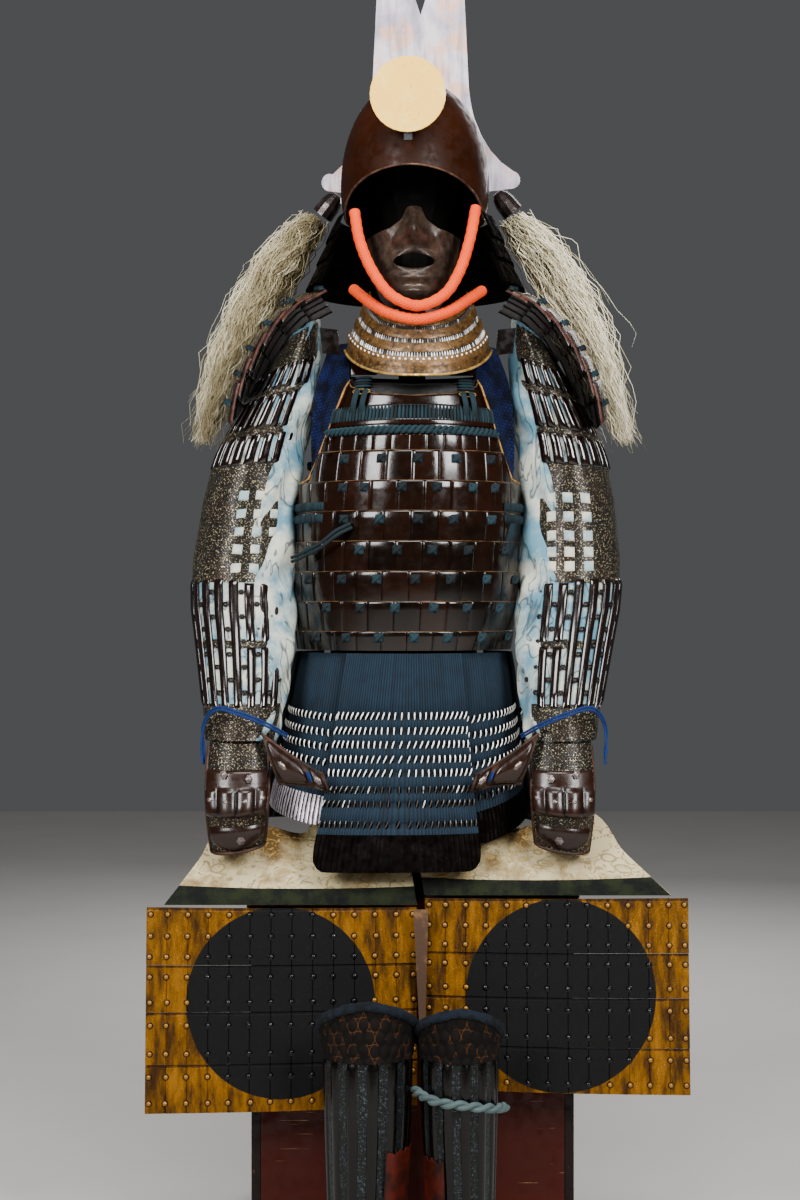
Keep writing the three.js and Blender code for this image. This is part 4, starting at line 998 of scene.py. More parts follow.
def build_chest_trim():
    """The black collar along the neckline, the rims of the side edges, the lacing under the chest
    plate, the braid and the bars of lacing at both sides."""
    s = np.linspace(-1, 1, 61)
    u, v = np.meshgrid(s, np.linspace(0, 1, 5))
    rise = 15 * (1 - np.abs(u) ** 2.5) * v
    edge = chest_point(u, 1 + 0 * u, 1.2 + 0 * u)
    collar = leaf(edge + stack(0 * u, 0.3 * rise - 0.6 * np.sin(np.pi * v), rise), 2.4)
    top = (chest_point(s, 1 + 0 * s, 1.2 + 0 * s)
        + stack(0 * s, 4.5 * (1 - np.abs(s) ** 2.5), 15 * (1 - np.abs(s) ** 2.5)))
    roll = tube(top + np.array([0, 1.0, 0.5]), 2.4 * (1 - 0.5 * np.abs(s) ** 20), 8)
    piece("neckline_band", join([collar, roll]), FINISH["black_leather"])
    # A lighter line along the chest plate's turned-out upper edge: a painted highlight.
    bright = chest_point(s * 0.98, 0.95 + 0 * s, 4.2 + 0 * s)
    piece("neckline_highlight", tube(bright, 0.9, 6), FINISH["edge_highlight"])
    edges = []
    for sign in (-1, 1):
        for high, low in ((1266, 1194), (1193, 1112)):
            z = np.linspace(high, low, 30)
            thin = 1.6 * (1 - 0.5 * np.linspace(-1, 1, 30) ** 8)
            edges.append(tube(trunk(sign * chest_reach(z), z, 1.6 + 0 * z), thin, 8))
    piece("cuirass_side_rims", join(edges), FINISH["rim"])
    count = 50
    u = (np.arange(count) + 0.5) / count * 2 - 1
    a = u * 1.02 * chest_reach(np.full(count, 1208.0))
    origin, right, up, out = stations(trunk, a, 1213.5 - 7 * (1 - np.cos(a)), 1.2)
    lacing = repeat(strand(4.6, 26, 4.4), origin, right, up, out)
    side_bars = []
    for z0 in (1081, 1063.5):
        for lo, hi, many in ((-88, -48, 27), (56, 88, 21)):
            a = np.radians(np.linspace(lo, hi, many))
            o, r, t, n = stations(trunk, a, z0 + 0 * a, 2.6)
            side_bars.append(repeat(strand(4.7, 12, 4.4), o, r, t, n))
    piece("chest_lacing", join([lacing] + side_bars), FINISH["teal"])
    twists = []
    s = np.linspace(-1, 1, 360)
    a = s * 0.99 * chest_reach(np.full(360, 1190.0))
    for phase in (0, np.pi):
        swing = s * 16 * np.pi + phase
        path = trunk(a, 1190.0 + 3.6 * np.sin(swing) - 6 * (1 - np.cos(a)), 3.6 + 2.2 * np.cos(swing))
        twists.append(tube(path, 3.1, 6, tone=0.7))
    piece("chest_braid", join(twists), FINISH["teal"])


def build_knots():
    """A knot of teal lace for each listed spot on the lames, and an even row of them behind."""
    spots = [(np.radians(a), z) for z, angles in KNOT_ROWS for a in angles]
    for k in range(LAMES):
        z = lame_at(k)[0] - 13
        for a in np.radians(np.linspace(112, 248, 7 - k % 2)):
            spots.append((a, z))
    spots = np.array(spots)
    origin, right, up, out = stations(trunk, spots[:, 0], spots[:, 1], 2.7)
    wobble = dice.normal(0, 0.08, (len(spots), 1))
    piece("cuirass_knots", repeat(crossed_knot(15.5), origin, right + wobble * up, up, out),
        FINISH["teal"])
    toggles = []
    rings = []
    for x, z in ((-71, 1250), (76, 1246)):
        a = np.arcsin((x - 1) / 140)
        o, r, t, n = (m[0] for m in stations(trunk, [a], [z], 4.5))
        bar = strand(4.4, 27, 5)
        for k in range(4):
            toggles.append(repeat(bar, o[None] - t * (4.2 * k + 3), t[None], r[None], n[None]))
        s = np.linspace(0, 1, 24)
        loop = (o + (14 * np.cos(np.pi * 2 * s))[:, None] * r
            + (5 + 3.6 * np.sin(np.pi * 2 * s))[:, None] * t + n * 2.0)
        rings.append(tube(loop, 0.9, 6, hint=tuple(n)))
        for side in (-1, 1):
            w = np.linspace(0, 1, 12)
            swing = (1 + 6 * np.sin(np.pi * w))[:, None]
            path = (o + r * side * 7 + t * (w[:, None] * 46 + 2) + n * swing
                + np.array([0, 14, 0]) * w[:, None] ** 2)
            toggles.append(tube(path, 4.6, 8, flatten=0.55, hint=tuple(n)))
    piece("chest_toggles", join(toggles), FINISH["teal"])
    piece("toggle_rings", join(rings), FINISH["brass"])


# ---------- skirt ----------
def skirt_point(a, f, z, out):
    """The skirt's flare at angle a: an oval that grows squarer and wider downwards."""
    square = lerp(1, 0.72, f)
    soften = lambda c: np.sign(c) * np.abs(c) ** square
    half = lerp(152, 205, f) + out
    depth = np.where(np.cos(a) > 0, lerp(120, 206, f), lerp(110, 176, f)) + out
    return stack(lean(z) + half * soften(np.sin(a)), -depth * soften(np.cos(a)), z)


def skirt_at(name):
    """The surface at(u, v, out) of one hanging section, v from its lacing down to its foot."""
    turn, top, foot, base, inner, outer = SKIRTS[name]

    def at(u, v, out):
        a = np.radians(turn + (2 * u - 1) * lerp(top, foot, v))
        z = lerp(SKIRT_TOP, lerp(inner, outer, u if turn >= 0 else 1 - u), v)
        return skirt_point(a, (SKIRT_TOP - z) / (SKIRT_TOP - HIP), z, base + out)

    return at


# How far down a section each row of scale heads stands, and how much painted highlight its crests get.
TICK_ROWS = columns("at bright", [
    (0.293, 1.0), (0.362, 1.0), (0.425, 1.0), (0.492, 1.0), (0.555, 0.95), (0.631, 0.35), (0.695, 0.2),
    (0.788, 0.1)])


def build_skirt(name):
    """One section: ribs of lacing, rows of black scale heads between them, each with a pale crest as
    a painted highlight, and a ribbed last lame.
    """
    inner, outer = SKIRTS[name][4:]
    at = skirt_at(name)
    rows = TICK_ROWS["at"] * (SKIRT_TOP - HIP) / (SKIRT_TOP - (inner + outer) / 2)
    shown = rows < 0.82
    count = 50 if name == "skirt_front" else 30
    fine = np.linspace(0, 1, 6 * count + 1)
    ribs = np.abs(np.sin(np.pi * fine * count)) ** 0.7
    steps = ([0, 0.012, 0.1, 0.2, 0.825, 0.835]
        + [f + k for f in rows[shown] for k in (-0.016, -0.012, 0.012, 0.016)])
    steps = np.sort(steps)
    lift = np.zeros(len(steps))
    for f in rows[shown]:
        lift -= 1.6 * ((steps > f - 0.014) & (steps < f + 0.014))
    u, v = np.meshgrid(fine, steps)
    sag = 1.2 * np.sin(np.pi * np.minimum(v / 0.28, 1)) * (v < 0.28)
    out = 1.2 * ribs[None] + lift[:, None] + sag
    noise = np.repeat(dice.normal(0, 0.1, count), 6)
    # Tone by rib and row: painted shade in the furrows between laces and in the bands where the scale heads
    # sit.
    tones = np.clip(0.1 + 0.75 * ribs ** 0.8 + np.append(noise, 0), 0, 1)
    laced = skin(at, u, v, out, -2.2, tone=tones[None] - 0.35 * (lift[:, None] < 0))
    piece(name + "_lacing", laced, FINISH["blue"], crease=70, replaces=[name])
    heads = []
    crest_highlights = []
    many = count // 2
    s = (np.arange(many) + 0.5) / many
    for f, bright in zip(rows[shown], TICK_ROWS["bright"]):
        origin, right, up, away = stations(at, s, f + 0 * s, 0.4)
        tilt = up * 0.97 + away * 0.24
        face = away - 0.24 * up
        heads.append(repeat(strand(5.2, 10, 2.6, 6, 4), origin, right, tilt, face, 0.2))
        slant = right * (0.2 + 0.2 * np.sin(s * 9 + f * 20))[:, None]
        # Each crest is a pale strip over a scale head, a painted highlight, brighter in the lit upper rows.
        shade = np.clip(bright + dice.normal(0, 0.14, many), 0, 1)
        crest_highlights.append(repeat(strand(2.5, 10.4, 2.2, 6, 4), origin + away * 2.1, right, tilt + slant, face,
            shade))
    piece(name + "_scales", join(heads), FINISH["black"])
    piece(name + "_crests", join(crest_highlights), FINISH["tick"])
    hem_ribs = 25 if name == "skirt_front" else 24
    many = np.linspace(0, 1, 8 * hem_ribs + 1)
    rib = np.abs(np.sin(np.pi * many * hem_ribs)) ** 1.2
    u, w = np.meshgrid(many, [0, 0.04, 0.2, 0.4, 0.6, 0.8, 0.92, 1.0])
    near = np.clip(1 - np.minimum(u, 1 - u) / 0.13, 0, 1)
    v = lerp(0.832, 1.0 - 0.09 * (1 - np.sqrt(1 - near ** 2)), w)
    edge = 1.2 * np.sin(np.pi * np.clip(w, 0.02, 1)) ** 0.4
    nick = 0.25 * (np.sin(37 * w + 9 * np.floor(u * hem_ribs)) > 0.5)
    # The hem's tone follows its ribs: painted shade in the furrows between them.
    last = skin(at, u, v, edge + 1.3 * rib[None] + 0.4, -1.8, tone=np.clip(rib[None] ** 0.8 - nick, 0, 1))
    finish = FINISH["hem_left" if name == "skirt_front_left" else "black"]
    piece(name + "_hem", last, finish, crease=70)


# ---------- thigh guards ----------
def lap_at(side):
    """The cloth of one thigh guard: from the waistband, under the skirt and out over the knee."""
    sign, inner, _, top, _, _ = THIGH_SIDES[side]

    def at(u, v, out=0.0):
        hem = v ** 1.5
        seam = lerp(lean(820) + sign * 4, inner, hem)
        edge = lerp(lean(820), sign * 7 + 7, hem) + sign * along(LAP_CLOTH, "outer", v)
        x = lerp(seam, edge, u)
        bend = along(LAP_CLOTH, "rise", v) * u ** 3 - along(LAP_CLOTH, "sag", v) * 4 * u * (1 - u)
        z = along(LAP_CLOTH, "z", v) + (top - 513) * v + bend
        fold = (2.2 * np.sin(7 * u + 5 * v) * np.sin(np.pi * v) ** 2
            + 3.0 * wave((u - 0.62 - 0.25 * (1 - v)) / 0.05) * v * (1 - v) * 4)
        return stack(x, along(LAP_CLOTH, "y", v) - out - fold, z)

    return at


def leaf_at(side):
    """The plated panel of one thigh guard, in four overlapping rows."""
    sign, inner, width, top, foot, slope = THIGH_SIDES[side]

    def at(u, f, out):
        z = lerp(top, foot, f) + slope * (0.5 - u) * f
        return stack(inner + sign * width * u, -188 - 22 * f - out - 9 * np.sin(np.pi * u), z)

    return at


def build_thigh(side):
    """Brocade with a green border above four rows of riveted gold plates under one black disc."""
    at = lap_at(side)
    u, v = grid(40, 44)
    form = leaf(at(u, v), 2.0)
    cloth_piece = piece("thigh_brocade_" + side, form, FINISH["brocade"],
        replaces=["thigh_cloth_" + side])
    u, v = grid(48, 6)
    border = leaf(at(u, lerp(0.88, 0.998, v), 1.6 + 0.8 * np.sin(np.pi * v)), 1.4)
    trim = piece("thigh_border_" + side, border, FINISH["green"])
    surface = leaf_at(side)
    plates = []
    studs = []
    count = THIGH_COLUMNS
    cells = np.append((np.arange(count)[:, None] + [0, 0.03, 0.5, 0.97]).ravel(), count) / count
    lap = np.append(np.tile([-0.8, 0.0, 0.35, 0.6], count), -0.8)
    for k, (head, foot) in enumerate(zip(THIGH_ROWS, THIGH_ROWS[1:])):
        u, w = np.meshgrid(cells, [0, 0.04, 0.06, 0.5, 0.97, 1.0])
        f = lerp(head + (0.004 if k else 0), foot, w)
        out = lerp(2.2, 3.4, w) - 1.2 * (w < 0.05) + lap[None]
        tones = np.append(np.repeat(np.clip(dice.normal(0.5, 0.16, count), 0, 1), 4), 0.5)
        # Painted shadow: each row is darker along its top, where it tucks under the row above.
        tones = np.clip(tones[None] - 0.5 * (w < 0.05), 0, 1)
        plates.append(skin(surface, u, f, out, -1.5, tone=tones))
        for share in ((0.12, 0.5, 0.86) if k == 0 else (0.26, 0.8)):
            s = np.clip(np.arange(count + 1) / count, 0.016, 0.984) + dice.normal(0, 0.0015, count + 1)
            q = lerp(head, foot, share) + 0 * s
            o, r, t, n = stations(surface, s, q, lerp(2.4, 3.4, share))
            studs.append(repeat(STUD, o, r, t, n, 0.5))
    piece("thigh_leaves_" + side, join(plates), FINISH["thigh"][side], crease=30,
          replaces=["thigh_plates_" + side])
    studs = join(studs)
    across, high, reach = DISC_MARKS[side]
    middle = studs.points.reshape(-1, len(STUD.points), 3).mean(1)
    inside = np.hypot(middle[:, 0] - across, middle[:, 2] - high) < reach - 2
    sets = (("studs", ~inside, "rivets"), ("black_studs", inside, "black_rivets"))
    for label, chosen, finish in sets:
        piece("thigh_%s_%s" % (label, side), some(studs, STUD, chosen), FINISH[finish])


# ---------- helmet ----------
def bowl_point(a, e, out):
    """The bowl: angle a from the front, e from 0 at the belly to 90 degrees at the crown."""
    share = np.cos(e) ** BOWL_ROUND
    depth = np.where(np.cos(a) > 0, BOWL_FRONT, BOWL_BACK) + out
    rise = np.where(e > 0, CROWN - BELLY + out, BELLY_DROP)
    return stack((BOWL_HALF + out) * share * np.sin(a), -depth * share * np.cos(a),
        BELLY + rise * np.sin(e))


def bowl_rim(a):
    """How low the bowl reaches at each angle: down to its belly behind, to the face's arch in front."""
    e = np.zeros_like(a)
    for _ in range(40):
        x = BOWL_HALF * np.cos(e) ** BOWL_ROUND * np.sin(a)
        arch = ARCH_FOOT + ARCH_RISE * np.sqrt(np.maximum(1 - (x / ARCH_HALF) ** 2, 0))
        z = np.where((np.cos(a) > 0) & (np.abs(x) < ARCH_HALF), arch, float(ARCH_FOOT))
        above = np.arcsin(np.clip((z - BELLY) / (CROWN - BELLY), 0, 1))
        below = -np.arcsin(np.clip((BELLY - z) / BELLY_DROP, 0, 1))
        wanted = np.where(z > BELLY, above, below)
        e = lerp(e, wanted, 0.5)
    return e


def build_helmet():
    """The lacquered bowl, its rim line, the disc on its peg, the tablet behind and the neck guard."""
    a = np.linspace(0, 2 * np.pi, 145)[:-1]
    rim = bowl_rim(a)
    w = np.linspace(0, 1, 34)[:, None]
    e = lerp(rim[None], np.radians(89), w)
    turn = a[None] + 0 * e
    seams = 0.35 * wave((np.mod(turn / (np.pi / 5), 1) - 0.5) / 0.05) * np.cos(e)
    bowl = skin(bowl_point, turn, e, seams, -2.4, ring=True, tone=0.5 + 0 * e)
    piece("helmet_bowl_skin", bowl, FINISH["helmet"], helmet=True, crease=50,
        replaces=["helmet_bowl"])
    s = np.linspace(0, np.pi, 61)
    x, z = ARCH_HALF * np.cos(s), ARCH_FOOT + ARCH_RISE * np.sin(s)
    below = -np.arcsin(np.abs(np.minimum((z - BELLY) / BELLY_DROP, 0)))
    above = np.arcsin(np.maximum(z - BELLY, 0) / (CROWN - BELLY))
    share = np.cos(np.where(z < BELLY, below, above)) ** BOWL_ROUND
    y = -BOWL_FRONT * share * np.sqrt(np.maximum(1 - (x / (BOWL_HALF * share)) ** 2, 0.02))
    rim = stack(x, y - 0.6, z + 0.5)
    piece("helmet_rim", tube(rim, 1.5, 8), FINISH["rim_line"], helmet=True)
    dress("crest_disc", FINISH["disc"])
    dress("crest_post", FINISH["steel"])
    dress("rear_plate", FINISH["silver"])
    for side, _ in SIDES:
        dress("hair_socket_" + side, FINISH["socket"])
    for number, (top, foot, head, hem, start) in enumerate(NECK, 1):
        count = 42
        fine = np.linspace(0, 1, 4 * count + 1)
        ribs = np.abs(np.sin(np.pi * fine * count)) ** 1.2
        u, v = np.meshgrid(fine, [0, 0.06, 0.5, 0.94, 1])
        a = np.radians(lerp(start, 360 - start, u))
        reach = lerp(head, hem, v) + 0.9 * ribs[None] + 0.8 * np.sin(np.pi * v)
        front = stack(np.sin(a) * reach, -np.cos(a) * reach * 1.08 + 8, lerp(top, foot, v))
        inner = lerp(head, hem, v) - 1.4
        back = stack(np.sin(a) * inner, -np.cos(a) * inner * 1.08 + 8, lerp(top, foot, v))
        lame = wall(front, back, tone=0.3 + 0 * u)
        piece("neck_guard_%d" % number, lame, FINISH["black"], helmet=True, crease=70,
            replaces=["neck_lame_%d" % number])


def build_hair(side, sign):
    """A horse tail out of its socket: locks of waved strands that fan out and bend down, with single
    strands straying out of the edges."""
    sets = []
    steps = 15
    t = np.linspace(0, 1, steps)
    locks = 26
    lock_a = dice.random(locks) * 2 * np.pi
    lock_r = np.sqrt(dice.random(locks)) * 0.9
    lock_phase = dice.random((locks, 3)) * 2 * np.pi
    lock_tone = dice.normal(0.6, 0.13, locks)
    for count, scatter, thick, loose in ((560, 0.2, 1.0, 1.5), (300, 0.34, 0.65, 7.0),
            (120, 0.5, 0.4, 15.0)):
        own = dice.integers(0, locks, count)
        r_x = lock_r[own] * np.cos(lock_a[own]) + dice.normal(0, scatter, count)
        r_y = lock_r[own] * np.sin(lock_a[own]) + dice.normal(0, scatter, count)
        f0 = 0.02 * dice.random(count)
        f1 = 1 - 0.62 * dice.random(count) ** 1.7
        f = lerp(f0[:, None], f1[:, None], t[None])
        down = f * 420
        wide, deep = along(HAIR, "wide", f), along(HAIR, "deep", f)
        x = along(HAIR, "x", f) + wide * r_x[:, None] * 0.85
        z = along(HAIR, "z", f) + wide * r_x[:, None] * 0.5
        y = along(HAIR, "y", f) + deep * r_y[:, None]
        swell = 6.5 * np.minimum(down / 60, 1)[..., None]
        waved = swell * np.sin(down[..., None] / 62 * 2 * np.pi * 0.8 + lock_phase[own][:, None])
        curl = 2.1 * np.sin(down[..., None] / 21 * 2 * np.pi + dice.random((count, 1, 3)) * 6.3)
        drift = dice.normal(0, loose, (count, 1, 3)) * (t ** 1.3)[None, :, None]
        drift = drift + loose * 0.5 * np.sin(t[None, :, None] * 14 + dice.random((count, 1, 3)) * 6.3)
        path = stack(sign * x + (sign + 1) * 3, y, z) + (waved + curl + drift) * [1.0, 0.7, 0.6]
        # Tone per strand: its lock's tone with a random part; strands on the upper outer side lighter and
        # those at the back darker, painted light and shade.
        shade = lock_tone[own] + dice.normal(0, 0.14, count) + 0.22 * r_x - 0.12 * (r_y > 0.5)
        sets.append(strands(path, thick, shade))
    piece("hair_tail_" + side, join(sets), FINISH["hair"], replaces=["hair_tuft_" + side])


def strands(paths, thick, shade, sides=3):
    """Many thin tapering strands at once: paths is (strand, step, 3)."""
    many, steps, _ = paths.shape
    go = unit(np.gradient(paths, axis=1))
    side = unit(np.cross(go, np.array([0.1, 1.0, 0.2])))
    top = np.cross(side, go)
    a = 2 * np.pi * np.arange(sides) / sides
    taper = thick * (1 - 0.75 * np.linspace(0, 1, steps) ** 3)
    ring = paths[:, :, None] + taper[None, :, None, None] * (
        np.cos(a)[None, None, :, None] * side[:, :, None]
        + np.sin(a)[None, None, :, None] * top[:, :, None])
    s, j, i = (m.ravel() for m in np.meshgrid(np.arange(many), np.arange(steps - 1), np.arange(sides),
        indexing="ij"))
    place = lambda jj, ii: (s * steps + jj) * sides + ii % sides
    quads = np.stack([place(j, i), place(j, i + 1), place(j + 1, i + 1), place(j + 1, i)], 1)
    m = np.arange(many) * steps * sides
    tris = np.concatenate([np.stack([m, m + 1, m + 2], 1),
        np.stack([m + 2, m + 1, m], 1) + (steps - 1) * sides])
    tone = np.repeat(np.clip(shade, 0, 1), steps * sides)
    return Form(ring.reshape(-1, 3), quads, tris, None, None, tone).outward()


# ---------- mask and throat guard ----------
def mask_point(u, z, out):
    """The half mask: a round jaw with a long nose, cheek rolls, a lip roll and a jutting chin."""
    a = np.radians(lerp(-MASK_EDGE, MASK_EDGE, u))
    x = between(FACE, "z", "half", z) * np.sin(a)
    y = -between(FACE, "z", "deep", z) * np.cos(a)
    bump = lambda cx, cz, wide, high, far: far * wave((x - cx) / wide) * wave((z - cz) / high)
    relief = bump(0, 1472, 14, 17, 34) + bump(0, 1498, 9, 20, 17)
    relief = relief + bump(19, 1462, 11, 9, 9) + bump(-19, 1462, 11, 9, 9)
    relief = relief + bump(0, 1386, 24, 9, 12) + bump(0, 1408, 34, 7, 8)
    relief = relief + bump(42, 1478, 16, 14, 8) + bump(-42, 1478, 16, 14, 8)
    folds = 2.4 * wave((np.abs(x) - 34 - 0.5 * (1470 - z)) / 4) * wave((z - 1446) / 26)
    lips = 3.0 * wave((np.hypot(x / 1.9, z - MOUTH) - 14.5) / 3)
    y = y - (relief + folds + lips) * (np.cos(a) > 0)
    return stack(2 + x + out * np.sin(a), -52 + y - out * np.cos(a), z)


def build_face():
    """The mask, in one sheet below the mouth and one above it, and the throat guard's laced lames."""
    u, v = grid(108, 26)
    x = np.interp(MOUTH, FACE["z"], FACE["half"]) * np.sin(np.radians(lerp(-MASK_EDGE, MASK_EDGE, u)))
    mouth = 11 * np.sqrt(np.maximum(1 - (x / 30) ** 2, 0)) * (np.abs(u - 0.5) < 0.4)
    brow = np.interp(np.abs(x), [0, 9, 16, 32, 60, 92], [1512, 1512, 1494, 1480, 1474, 1470])
    parts = []
    for low, high in ((FACE["z"][0] + 0 * u, MOUTH - mouth), (MOUTH + mouth, brow)):
        z = lerp(low, high, v)
        parts.append(skin(mask_point, u, z, 0 * u, -1.6, tone=0.5 + 0 * u))
    piece("mask_iron", join(parts), FINISH["iron"], crease=50, replaces=["mask"])
    for number, (top, half, front, fall) in enumerate(THROAT, 1):

        def at(u, v, out):
            a = np.radians(lerp(-78, 78, u))
            rise = 62 * (1 - np.cos(a)) ** 1.2
            reach = 7 * v + out
            return stack(9 + (half + reach) * np.sin(a), -38 - (front + reach) * np.cos(a),
                top + rise - fall * v)

        fine = np.linspace(0, 1, 81)
        u, v = np.meshgrid(fine, [0, 0.05, 0.3, 0.5, 0.54, 0.93, 1])
        out = 0.9 * np.sin(np.pi * np.clip(v, 0.02, 0.98)) - 0.7 * (v > 0.52)
        shade = np.where(v > 0.52, 0.1, 0.6) if number < 4 else 0.75 - 0.3 * v
        piece("throat_plate_%d" % number, skin(at, u, v, out, -1.5, tone=shade),
              FINISH["gilt"], crease=70, replaces=["throat_lame_%d" % number])
        s = np.linspace(0.01, 0.99, 66)
        if number < 4:
            o, r, t, n = stations(at, s, 0.76 + 0 * s, 0.6)
            shade = np.clip((0.25, 0.5, 0.55)[number - 1] + dice.normal(0, 0.12, len(s)), 0, 1)
            ticks = repeat(strand(2.3, 0.42 * fall, 2.0, 5, 4), o, r, t, n, shade)
            piece("throat_lacing_%d" % number, ticks, FINISH["tick"])
        else:
            w = np.linspace(0, 1, 50)
            piece("throat_rim", tube(at(w, 0.97 + 0 * w, 1.4), 1.8, 8), FINISH["stud"])
            o, r, t, n = stations(at, s[::2], 0.14 + 0 * s[::2], 0.8)
            piece("throat_dots", repeat(DOT, o, r, t, n, 0.9), FINISH["tick"])


# ---------- sleeves ----------
FINE_ROWS = np.linspace(0, 1, 400)
FINE_HEIGHTS = along(SLEEVE, "z", FINE_ROWS)


def row_at(z):
    """The share of the sleeve's length where it stands at height z."""
    return np.interp(-np.asarray(z, float), -FINE_HEIGHTS, FINE_ROWS)


def sleeve_at(sign):
    """The sleeve's surface at(angle, share, out): 0 degrees is its outer side, 90 its front."""

    def at(a, v, out=0.0):
        across = (along(SLEEVE, "half", v) + out) * np.cos(a)
        tilt = np.radians(along(SLEEVE, "tilt", v))
        z = along(SLEEVE, "z", v)
        x = lean(z) + sign * (along(SLEEVE, "out", v) + across * np.cos(tilt))
        return stack(x, along(SLEEVE, "y", v) - (along(SLEEVE, "deep", v) + out) * np.sin(a),
            z - across * np.sin(tilt))

    return at


def bar(at, angle, half, top, foot, high):
    """A splint: a half-round bar that follows the surface from one share to another."""
    w = np.array([-1, -0.96, -0.75, -0.4, 0, 0.4, 0.75, 0.96, 1])
    s = np.array([0, 0.015, 0.06, 0.3, 0.5, 0.7, 0.94, 0.985, 1])
    w, s = np.meshgrid(w, s)
    ends = np.minimum(np.minimum(s, 1 - s) / 0.04, 1) ** 0.5
    out = 1.4 + high * np.sqrt(np.maximum(1 - w ** 2, 0)) ** 0.8 * ends
    a = angle + w * half
    v = lerp(top, foot, s)
    return skin(at, a, v, out, 0.6, tone=0.4 + 0 * w)


def build_sleeve(side, sign):
    """Dyed cloth all round; bands of mail with splints between them, small knots and square windows over
    its outer side and front."""
    at = sleeve_at(sign)
    ends = {"left": 156, "right": 140}[side]
    u, v = grid(84, 96)
    a = 2 * np.pi * u[:, :-1]
    v = v[:, :-1]
    high = along(SLEEVE, "z", v)
    inner = np.clip(-np.cos(a) * 1.2 + 0.1, 0, 1)
    creases = 2.4 * np.sin(9 * a + 26 * v) * np.sin(5 * v + a) + 2.2 * np.sin(46 * v + 3 * np.sin(3 * a))
    creases = creases - 2.5 * wave((np.sin(33 * v + 2.4 * np.sin(2 * a)) - 1) / 0.25)
    fading = np.clip((1300 - high) / 60, 0, 1)
    slack = 12 * wave((a - np.radians(168)) / 0.66) * fading * np.clip((high - 800) / 80, 0, 1)
    shell = leaf(at(a, v, creases * inner + slack - 1.0), 2.0, ring=True)
    cloth_piece = piece("sleeve_cloth_" + side, shell, FINISH["pale"],
        replaces=["sleeve_" + side])
    bands = []
    for top, foot in ((1340, 1288), (1262, 1244), (1203, 1184), (1148, 971), (886, 875), (797, 736)):
        u, w = grid(44, max(3, (top - foot) // 8))
        m = np.radians(lerp(-80, ends, u))
        q = lerp(row_at(top), row_at(foot), w)
        lift = 1.4 + 0.7 * np.sin(60 * q) * np.sin(7 * m) + 0.5 * np.sin(np.pi * w)
        bands.append(leaf(at(m, q, lift), 1.4))
    mail_piece = piece("sleeve_mail_" + side, join(bands), FINISH["mail"])
    bars = []
    knots = []
    spread = np.radians([-62, -43, -25, -6.5, 12, 30.5, 49, 67.5, 86, 104.5, 123, 141])
    for k, angle in enumerate(spread):
        runs = [(1294, 1256), (1250, 1197), (1190, 1144)]
        runs += [(976, 790)] if k < 9 else [(970, 884), (878, 792)]
        for top, foot in runs:
            if np.degrees(angle) > ends - 4:
                continue
            half = 7.6 / 60 if top > 1000 else 6.4 / 62
            bars.append(bar(at, angle, half, row_at(top), row_at(foot), 4.0))
        for z in np.arange(956 - 18 * (k % 2), 800, -36):
            knots.append((angle + np.radians(9.2), row_at(z)))
    piece("sleeve_splints_" + side, join(bars), FINISH["splint"], crease=50)
    knots = np.array(knots)
    o, r, t, n = stations(at, knots[:, 0], knots[:, 1], 1.6)
    piece("sleeve_knots_" + side, repeat(FLOWER, o, r, t, n * 1.3, 0.3), FINISH["dark_iron"])
    rows = {"left": (1098, 1071, 1045, 1019, 991), "right": (1095, 1067, 1039, 1015, 994)}[side]
    angles = {"left": (88, 109, 131), "right": (75, 98, 120)}[side]
    spots = np.array([(np.radians(b), row_at(z)) for b in angles for z in rows])
    o, r, t, n = stations(at, spots[:, 0], spots[:, 1], 2.2)
    turn = dice.normal(0, 0.07, (len(spots), 1))
    windows = repeat(pillow(14.8, 14.8, 2.2, (3, 3)), o, r + turn * t, t, n)
    piece("sleeve_windows_" + side, windows, FINISH["window"])


# ---------- hands ----------
def hand_at(sign):
    """The back of the hand: an arch across with a ridge at the knuckles."""

    def at(u, v, out=0.0):
        a = np.radians(lerp(-82, 82, u))
        reach = lerp(42, 46, np.sin(v * np.pi)) + out
        x = reach * np.sin(a) * lerp(1, 0.9, v)
        knuckle = 7 * wave((v - 0.62) / 0.14)
        y = -(24 + knuckle + out) * np.cos(a) - 22 * np.sin(v * np.pi * 0.9)
        slant = 0.15 * x * v * v
        return stack(CENTRE_X + sign * (HAND_OUT + x), -160 + y,
            669 + lerp(70, -72, v) - 7 * np.cos(a) * v - slant)

    return at


def thumb_at(sign):
    """The thumb's cover: a narrowing arch that points inwards."""

    def at(u, v, out=0.0):
        a = np.radians(lerp(-75, 75, u))
        wide = lerp(12, 36, np.maximum(1 - v, 0) ** 1.6) + out
        x = CENTRE_X + sign * (HAND_OUT - lerp(46, 125, v) + wide * np.sin(a) * 0.35)
        return stack(x, -184 - 10 * v - (13 + out) * np.cos(a) + 8 * v * v,
            lerp(722, 688, v) + wide * np.sin(a))

    return at


